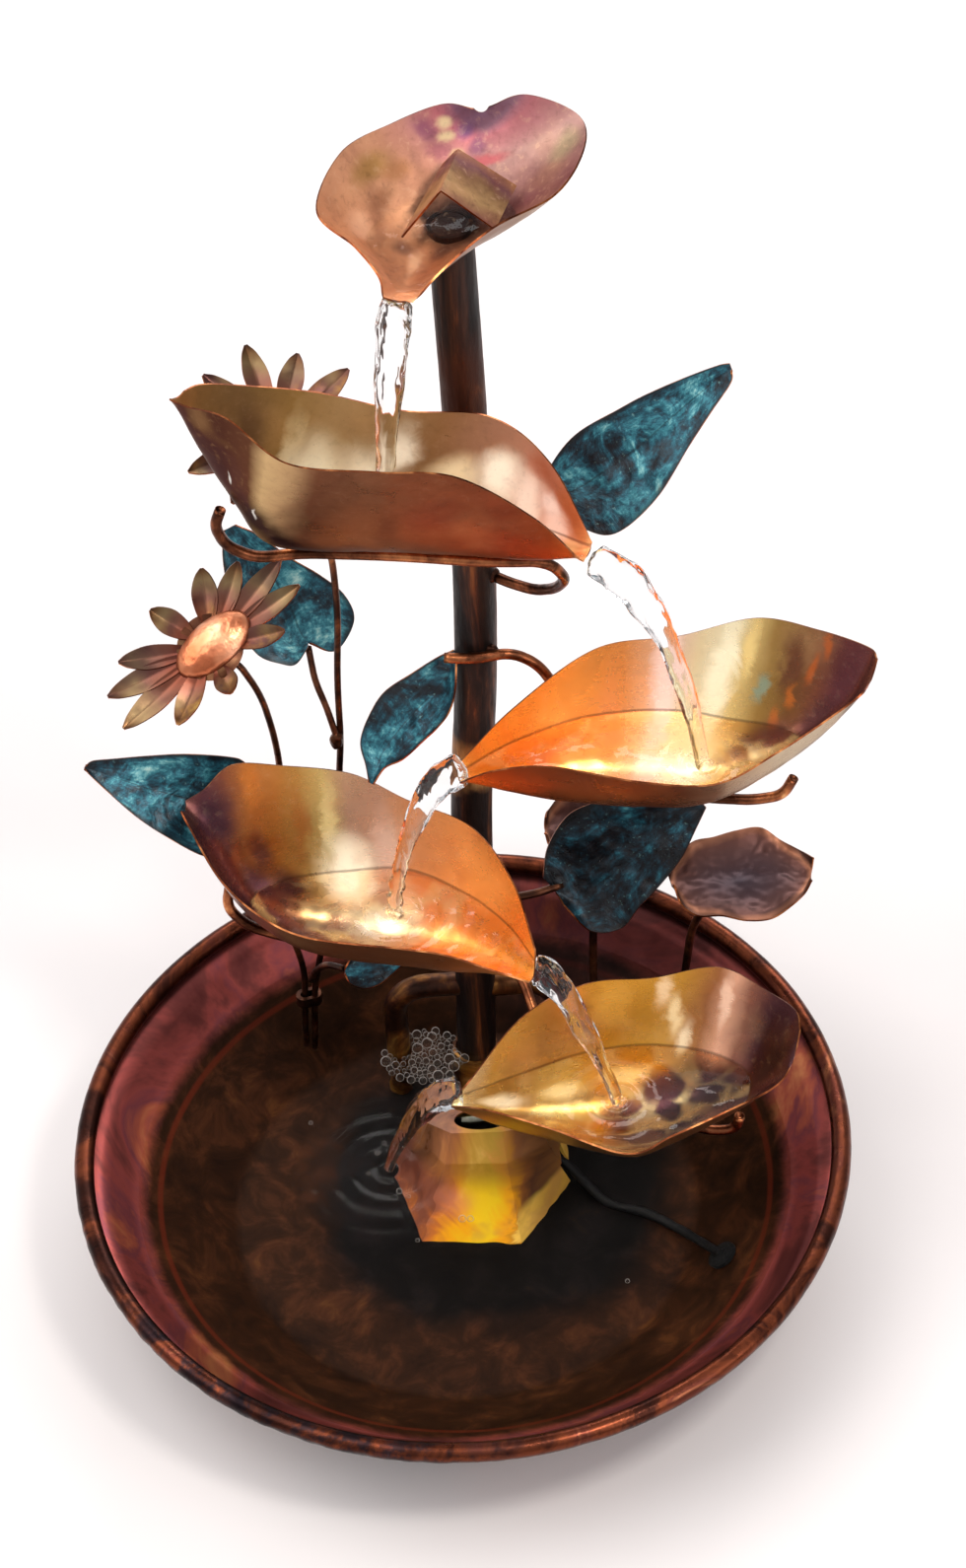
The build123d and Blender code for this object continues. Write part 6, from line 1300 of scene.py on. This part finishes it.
mat_plastic = kp.surface(kp.ramp(kp.noise(400.0, 3.0), [(0.3, "#131416"), (0.7, "#202225")]), 0.0, kp.span(kp.noise(900.0, 2.0), 0.3, 0.7, 0.34, 0.5), kp.bump(kp.noise(2200.0, 2.0), 0.2, 0.0001))
mg = Nodes("magnet_grey")
mat_magnet = mg.surface(mg.ramp(mg.noise(200.0, 4.0), [(0.3, "#3a3c40"), (0.7, "#5a5d62")]), 0.4, mg.span(mg.noise(500.0, 2.0), 0.3, 0.7, 0.3, 0.5))
cm_ = Nodes("shaft_white_ceramic")
mat_ceramic = cm_.surface(cm_.ramp(cm_.noise(300.0, 2.0), [(0.3, "#d8d6cf"), (0.7, "#eceae4")]), 0.0, cm_.span(cm_.noise(300.0, 2.0), 0.3, 0.7, 0.15, 0.25))
rm_ = Nodes("rubber_dark")
mat_rubber = rm_.surface(rm_.ramp(rm_.noise(500.0, 3.0), [(0.3, "#0f1011"), (0.7, "#191a1c")]), 0.0, rm_.span(rm_.noise(700.0, 2.0), 0.3, 0.7, 0.5, 0.68), rm_.bump(rm_.noise(1600.0, 2.0), 0.25, 0.0001), spec=(0.12, (1.0, 1.0, 1.0)))
pl_ = Nodes("plug_black_plastic")
mat_plug = pl_.surface(pl_.ramp(pl_.noise(500.0, 3.0), [(0.3, "#101113"), (0.7, "#1b1c1f")]), 0.0, pl_.span(pl_.noise(900.0, 2.0), 0.3, 0.7, 0.36, 0.52), pl_.bump(pl_.noise(1800.0, 2.0), 0.2, 0.0001))
pp_ = Nodes("plug_pin_metal")
mat_pin = pp_.surface(pp_.ramp(pp_.noise(200.0, 3.0), [(0.3, "#b9a878"), (0.7, "#d8cda8")]), 1.0, pp_.span(pp_.noise(500.0, 2.0), 0.3, 0.7, 0.2, 0.34))
mat_band = mat_stem
for node, mat, bev in (("pump_guard", mat_guard, 0.4), ("riser_elbow", mat_leg, 0.3), ("hose_barb", brass_m, 0.2), ("vinyl_hose", mat_vinyl, 0.2), ("pump_body", mat_plastic, 0.4), ("pump_cover_plate", mat_plastic, 0.15), ("pump_shaft", mat_ceramic, 0.0), ("pump_rotor", mat_magnet, 0.15), ("pump_strainer", mat_plastic, 0.25), ("flow_gate", mat_plastic, 0.2), ("pump_feet", mat_rubber, 0.2), ("cord_gland", mat_rubber, 0.2), ("wall_gland", mat_rubber, 0.4), ("stem_tie", mat_band, 0.3), ("plug_body", mat_plug, 0.6), ("plug_pins", mat_pin, 0.2)):
    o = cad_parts[node]
    o.data.materials.clear()
    o.data.materials.append(mat)
    if bev:
        b = o.modifiers.new("soft_edges", "BEVEL")
        b.width = bev * MM
        b.segments = 3
        b.limit_method = "ANGLE"
        b.angle_limit = math.radians(35)
        b.harden_normals = False

# ------------------------------------------------------------------ water
water_cup = glass_water("water_in_cups", (70.0, 0.3, 0.0012, (1, 1, 1)))
water_film = glass_water("water_film_flower", (70.0, 0.3, 0.0012, (1, 1, 1)), mirror=0.4)
water_basin = glass_water("water_in_basin", (18.0, 0.2, 0.0014, (1.0, 1.4, 1.0)), (0.97, 0.94, 0.89, 1.0), ((-29.5, 4.0, 11.0, 80.0, 0.25),), mirror=0.35)
water_stream = glass_water("water_falling", (90.0, 0.55, 0.002, (1.6, 1.6, 0.45)), (0.975, 0.98, 0.98, 1.0), clear=0.0)


def pool(tag, table, level, film=1.8, rings=(), n=84, m=44):
    """Water lying in a cup up to its level and running out over the spout."""
    rows = [[Vector(p) for p in r] for r in table]
    P = lambda u, v: sheet_point(rows, 2.0, u, v)
    low = min((k / 200 for k in range(10, 200)), key=lambda u: P(u, 0).z)
    u0 = low
    while u0 > 0.0 and P(u0, 0).z < level - 0.05:
        u0 -= 0.0025
    u1 = 0.999
    verts, faces = [], []
    for i in range(n + 1):
        u = u0 + (u1 - u0) * i / n
        key = P(u, 0)
        lv = max(level, key.z + film * smooth(0.7, 0.97, u))
        ends = []
        for s in (-1, 1):
            v, q = 0.0, None
            while v < 0.985:
                if P(u, s * v).z > lv:
                    q = s * v
                    break
                v += 0.006
            ends.append(P(u, q) if q is not None else P(u, s * 0.985))
        a, b = ends
        for j in range(m + 1):
            f = j / m
            p = a.lerp(b, f)
            # a thin film keeps the shape of the lip
            deep = math.sin(math.pi * f) ** 0.5 if 0 < f < 1 else 0.0
            z = a.z + (b.z - a.z) * f
            if abs(a.z - lv) > 0.4 or abs(b.z - lv) > 0.4:
                z = max(z, key.z + film * deep) if f not in (0, 1) else z
            else:
                z = lv
            w = 0.0
            for cx, cy, amp, wave, reach in rings:
                d = math.hypot(p.x - cx, p.y - cy)
                w += amp * math.cos(2 * math.pi * d / wave) * math.exp(-d / reach)
            w += 0.22 * noise.noise(p * 0.16) + 0.10 * noise.noise(p * 0.45)
            verts.append(Vector((p.x, p.y, z + w * deep)))
    for i in range(n):
        for j in range(m):
            q = (i * (m + 1) + j, (i + 1) * (m + 1) + j, (i + 1) * (m + 1) + j + 1, i * (m + 1) + j + 1)
            faces.append(q)
    ob = make_mesh(tag, verts, faces, [water_film if tag == "pool_flower" else water_cup])
    up = sum(p.normal.z for p in ob.data.polygons)
    if up < 0:
        ob.data.flip_normals()
    keep(ob, "root")
    return ob


pool("pool_flower", FLOWER_CUP, 460.6, 1.6, (), 60, 30)
pool("pool_upper", UPPER_CUP, 350.6, 1.8, ((-10.0, 27.0, 0.5, 5.5, 9.0),))
pool("pool_right", RIGHT_CUP, 246.4, 1.8, ((97.0, 13.0, 0.8, 7.0, 12.0),))
pool("pool_left", LEFT_CUP, 168.6, 1.8, ((-20.0, 22.0, 1.0, 8.0, 14.0),))
pool("pool_lower", LOWER_CUP, 99.6, 1.6, ((60.0, -20.0, 0.8, 7.0, 12.0),))

# basin surface
verts, faces = [], []
rings, segs = 110, 220
LEVEL = 38.2
for i in range(rings + 1):
    rr = 129.3 * i / rings
    for k in range(segs):
        a = 2 * math.pi * k / segs
        x, y = rr * math.cos(a), rr * math.sin(a)
        fade = 1 - smooth(118, 129, rr)
        z = 0.0
        for cx, cy, amp, wave, reach in ((-29.5, 4.0, 0.75, 8.5, 17.0), (8.0, 60.0, 0.35, 9.0, 18.0), (-11.0, 58.0, 0.3, 6.0, 14.0)):
            d = math.hypot(x - cx, y - cy)
            z += amp * math.cos(2 * math.pi * d / wave) * math.exp(-d / reach)
        z += 0.3 * noise.noise(Vector((x * 0.045, y * 0.06, 0.0))) + 0.12 * noise.noise(Vector((x * 0.15, y * 0.2, 4.0)))
        verts.append((x, y, LEVEL + z * fade))
for i in range(rings):
    for k in range(segs):
        k2 = (k + 1) % segs
        faces.append((i * segs + k, (i + 1) * segs + k, (i + 1) * segs + k2, i * segs + k2))
surf = make_mesh("basin_water", verts, faces, [water_basin])
import bmesh
bmw = bmesh.new()
bmw.from_mesh(surf.data)
bmesh.ops.remove_doubles(bmw, verts=bmw.verts, dist=1e-7)
bmesh.ops.dissolve_degenerate(bmw, edges=bmw.edges, dist=1e-9)
bmw.to_mesh(surf.data)
bmw.free()
if sum(p.normal.z for p in surf.data.polygons) < 0:
    surf.data.flip_normals()
keep(surf, "root")

STREAM_1 = [(-1.7, 22.5, 463.6, 5.11), (-4.1, 23.4, 452.1, 5.83), (-6.0, 24.3, 436.6, 5.57), (-7.2, 25.2, 420.9, 4.77), (-9.1, 26.1, 402.9, 4.02), (-10.6, 27.0, 383.5, 3.57)]
STREAM_2 = [(58.6, 18.0, 347.2, 5.2), (66.0, 17.4, 341.1, 6.4), (72.0, 16.8, 333.6, 6.2), (77.7, 16.1, 323.7, 5.2), (82.4, 15.5, 312.8, 4.6), (86.8, 14.9, 298.5, 4.1), (91.2, 14.2, 280.5, 3.7), (94.6, 13.6, 260.8, 3.3), (96.9, 13.0, 240.8, 3.1)]
STREAM_3 = [(10.1, 15.0, 250.9, 6.6), (4.6, 15.9, 246.4, 6.4), (-1.1, 16.8, 239.4, 5.6), (-6.3, 17.6, 229.1, 4.6), (-10.9, 18.5, 216.6, 3.7), (-14.5, 19.4, 202.7, 3.1), (-17.1, 20.2, 188.1, 2.8), (-18.9, 21.1, 174.7, 2.8), (-19.9, 22.0, 162.3, 3.0)]
STREAM_4 = [(30.9, -8.0, 164.3, 5.6), (35.2, -9.7, 164.1, 5.8), (39.7, -11.4, 158.3, 5.2), (44.5, -13.1, 148.6, 4.6), (49.3, -14.9, 135.9, 4.1), (53.4, -16.6, 123.7, 3.7), (57.2, -18.3, 110.9, 3.4), (60.9, -20.0, 97.3, 3.2)]
STREAM_5 = [(1.0, -14.0, 103.1, 6.2), (-5.1, -11.0, 99.0, 6.2), (-11.0, -8.0, 92.5, 5.4), (-16.7, -5.0, 81.2, 4.6), (-21.9, -2.0, 67.3, 3.6), (-26.5, 1.0, 52.6, 2.7), (-30.0, 4.0, 36.9, 2.1)]

TO_CAM = -F


def stream(tag, rows, thin=0.42, twist=0.0, seed=0.0, n=120, sides=32, rough=0.16, knots=0.0):
    P = [Vector((r[0], r[1], r[2])) for r in rows]
    W = [Vector((r[3], 0, 0)) for r in rows]
    verts, faces = [], []
    length = sum((P[k + 1] - P[k]).length for k in range(len(P) - 1))
    pts = [crom(P, i / n) for i in range(n + 1)]
    T = [(pts[min(i + 1, n)] - pts[max(i - 1, 0)]).normalized() for i in range(n + 1)]
    for i in range(n + 1):
        t = i / n
        w = max(crom(W, t).x, 0.8) * (1 + knots * smooth(0.6, 0.8, t) * math.sin(t * 75))
        side = T[i].cross(TO_CAM).normalized()
        face = side.cross(T[i])
        a0 = twist * t
        close = min(1.0, smooth(-0.001, 0.03, t) * 0.6 + 0.4) * (1.0 - 0.35 * smooth(0.97, 1.0, t))
        for k in range(sides):
            a = 2 * math.pi * k / sides
            s = t * length
            ripple = 1 + rough * noise.noise(Vector((math.cos(a) * 1.3 + seed, math.sin(a) * 1.3, s * 0.055))) + rough * 0.6 * noise.noise(Vector((math.cos(a) * 2.6, math.sin(a) * 2.6 + seed, s * 0.13)))
            x = math.cos(a) * w * ripple * close
            y = math.sin(a) * max(w * thin, 1.3) * ripple * close
            x, y = x * math.cos(a0) - y * math.sin(a0), x * math.sin(a0) + y * math.cos(a0)
            verts.append(pts[i] + side * x + face * y)
    for i in range(n):
        for k in range(sides):
            k2 = (k + 1) % sides
            faces.append((i * sides + k, (i + 1) * sides + k, (i + 1) * sides + k2, i * sides + k2))
    faces.append(tuple(range(sides)))
    faces.append(tuple(reversed([n * sides + k for k in range(sides)])))
    ob = make_mesh(tag, verts, faces, [water_stream])
    bm = bmesh.new()
    bm.from_mesh(ob.data)
    bmesh.ops.recalc_face_normals(bm, faces=bm.faces)
    bm.to_mesh(ob.data)
    bm.free()
    keep(ob, "root")


stream("stream_from_flower", STREAM_1, 0.5, 0.5, 1.0)
stream("stream_from_upper", STREAM_2, 0.42, 0.5, 2.0, rough=0.26)
stream("stream_from_right", STREAM_3, 0.40, -0.3, 3.0, rough=0.22, knots=0.14)
stream("stream_from_left", STREAM_4, 0.45, 0.8, 4.0, rough=0.28)
stream("stream_from_lower", STREAM_5, 0.36, -0.6, 5.0, rough=0.3)

# foam where the column stands in the water, and loose bubbles
fb = Nodes("foam_bubble_skin")
gl = fb.new("ShaderNodeBsdfDiffuse")
gl.inputs["Color"].default_value = (0.4, 0.36, 0.33, 1)
tb = fb.new("ShaderNodeBsdfTransparent")
lw = fb.new("ShaderNodeLayerWeight")
lw.inputs["Blend"].default_value = 0.32
mx = fb.new("ShaderNodeMixShader")
fb.link(fb.span(lw.outputs["Facing"], 0.24, 0.5, 0.02, 0.85), mx.inputs[0])
fb.link(tb.outputs[0], mx.inputs[1])
fb.link(gl.outputs[0], mx.inputs[2])
fb.link(mx.outputs[0], fb.out.inputs["Surface"])
bub = bmesh.new()
placed = []
tries = 0
while len(placed) < 110 and tries < 6000:
    tries += 1
    a, q = random.uniform(0, 2 * math.pi), random.random() ** 0.6
    x, y = -13.0 + 17.0 * q * math.cos(a), 61.0 + 13.5 * q * math.sin(a)
    r = random.choice((0.9, 1.2, 1.5, 1.7, 2.0, 2.3))
    if math.hypot(x - 8.5, y - 67) < 8.3 + r or math.hypot(x + 23, y - 67) < 5.1 + r:
        continue
    if any((x - px) ** 2 + (y - py) ** 2 < ((r + pr) * 0.86) ** 2 for px, py, pr in placed):
        continue
    placed.append((x, y, r))
for x, y, r in ((-26.0, -8.0, 1.2), (-22.5, -11.0, 0.8), (-34.0, 12.0, 1.0), (-38.0, 2.0, 0.8), (-31.0, 17.0, 0.9), (-2.0, -24.0, 1.5), (1.2, -24.3, 1.3), (-20.0, -33.0, 0.8), (60.0, -60.0, 0.9), (-60.0, 30.0, 0.8)):
    placed.append((x, y, r))
for x, y, r in placed:
    bmesh.ops.create_icosphere(bub, subdivisions=3, radius=r * MM, matrix=Matrix.Translation(Vector((x, y, LEVEL + 0.25 * r)) * MM))
bme = bpy.data.meshes.new("surface_bubbles")
bub.to_mesh(bme)
bub.free()
bme.polygons.foreach_set("use_smooth", [True] * len(bme.polygons))
bme.materials.append(fb.mat)
bo = bpy.data.objects.new("surface_bubbles", bme)
scene.collection.objects.link(bo)
keep(bo, "root")
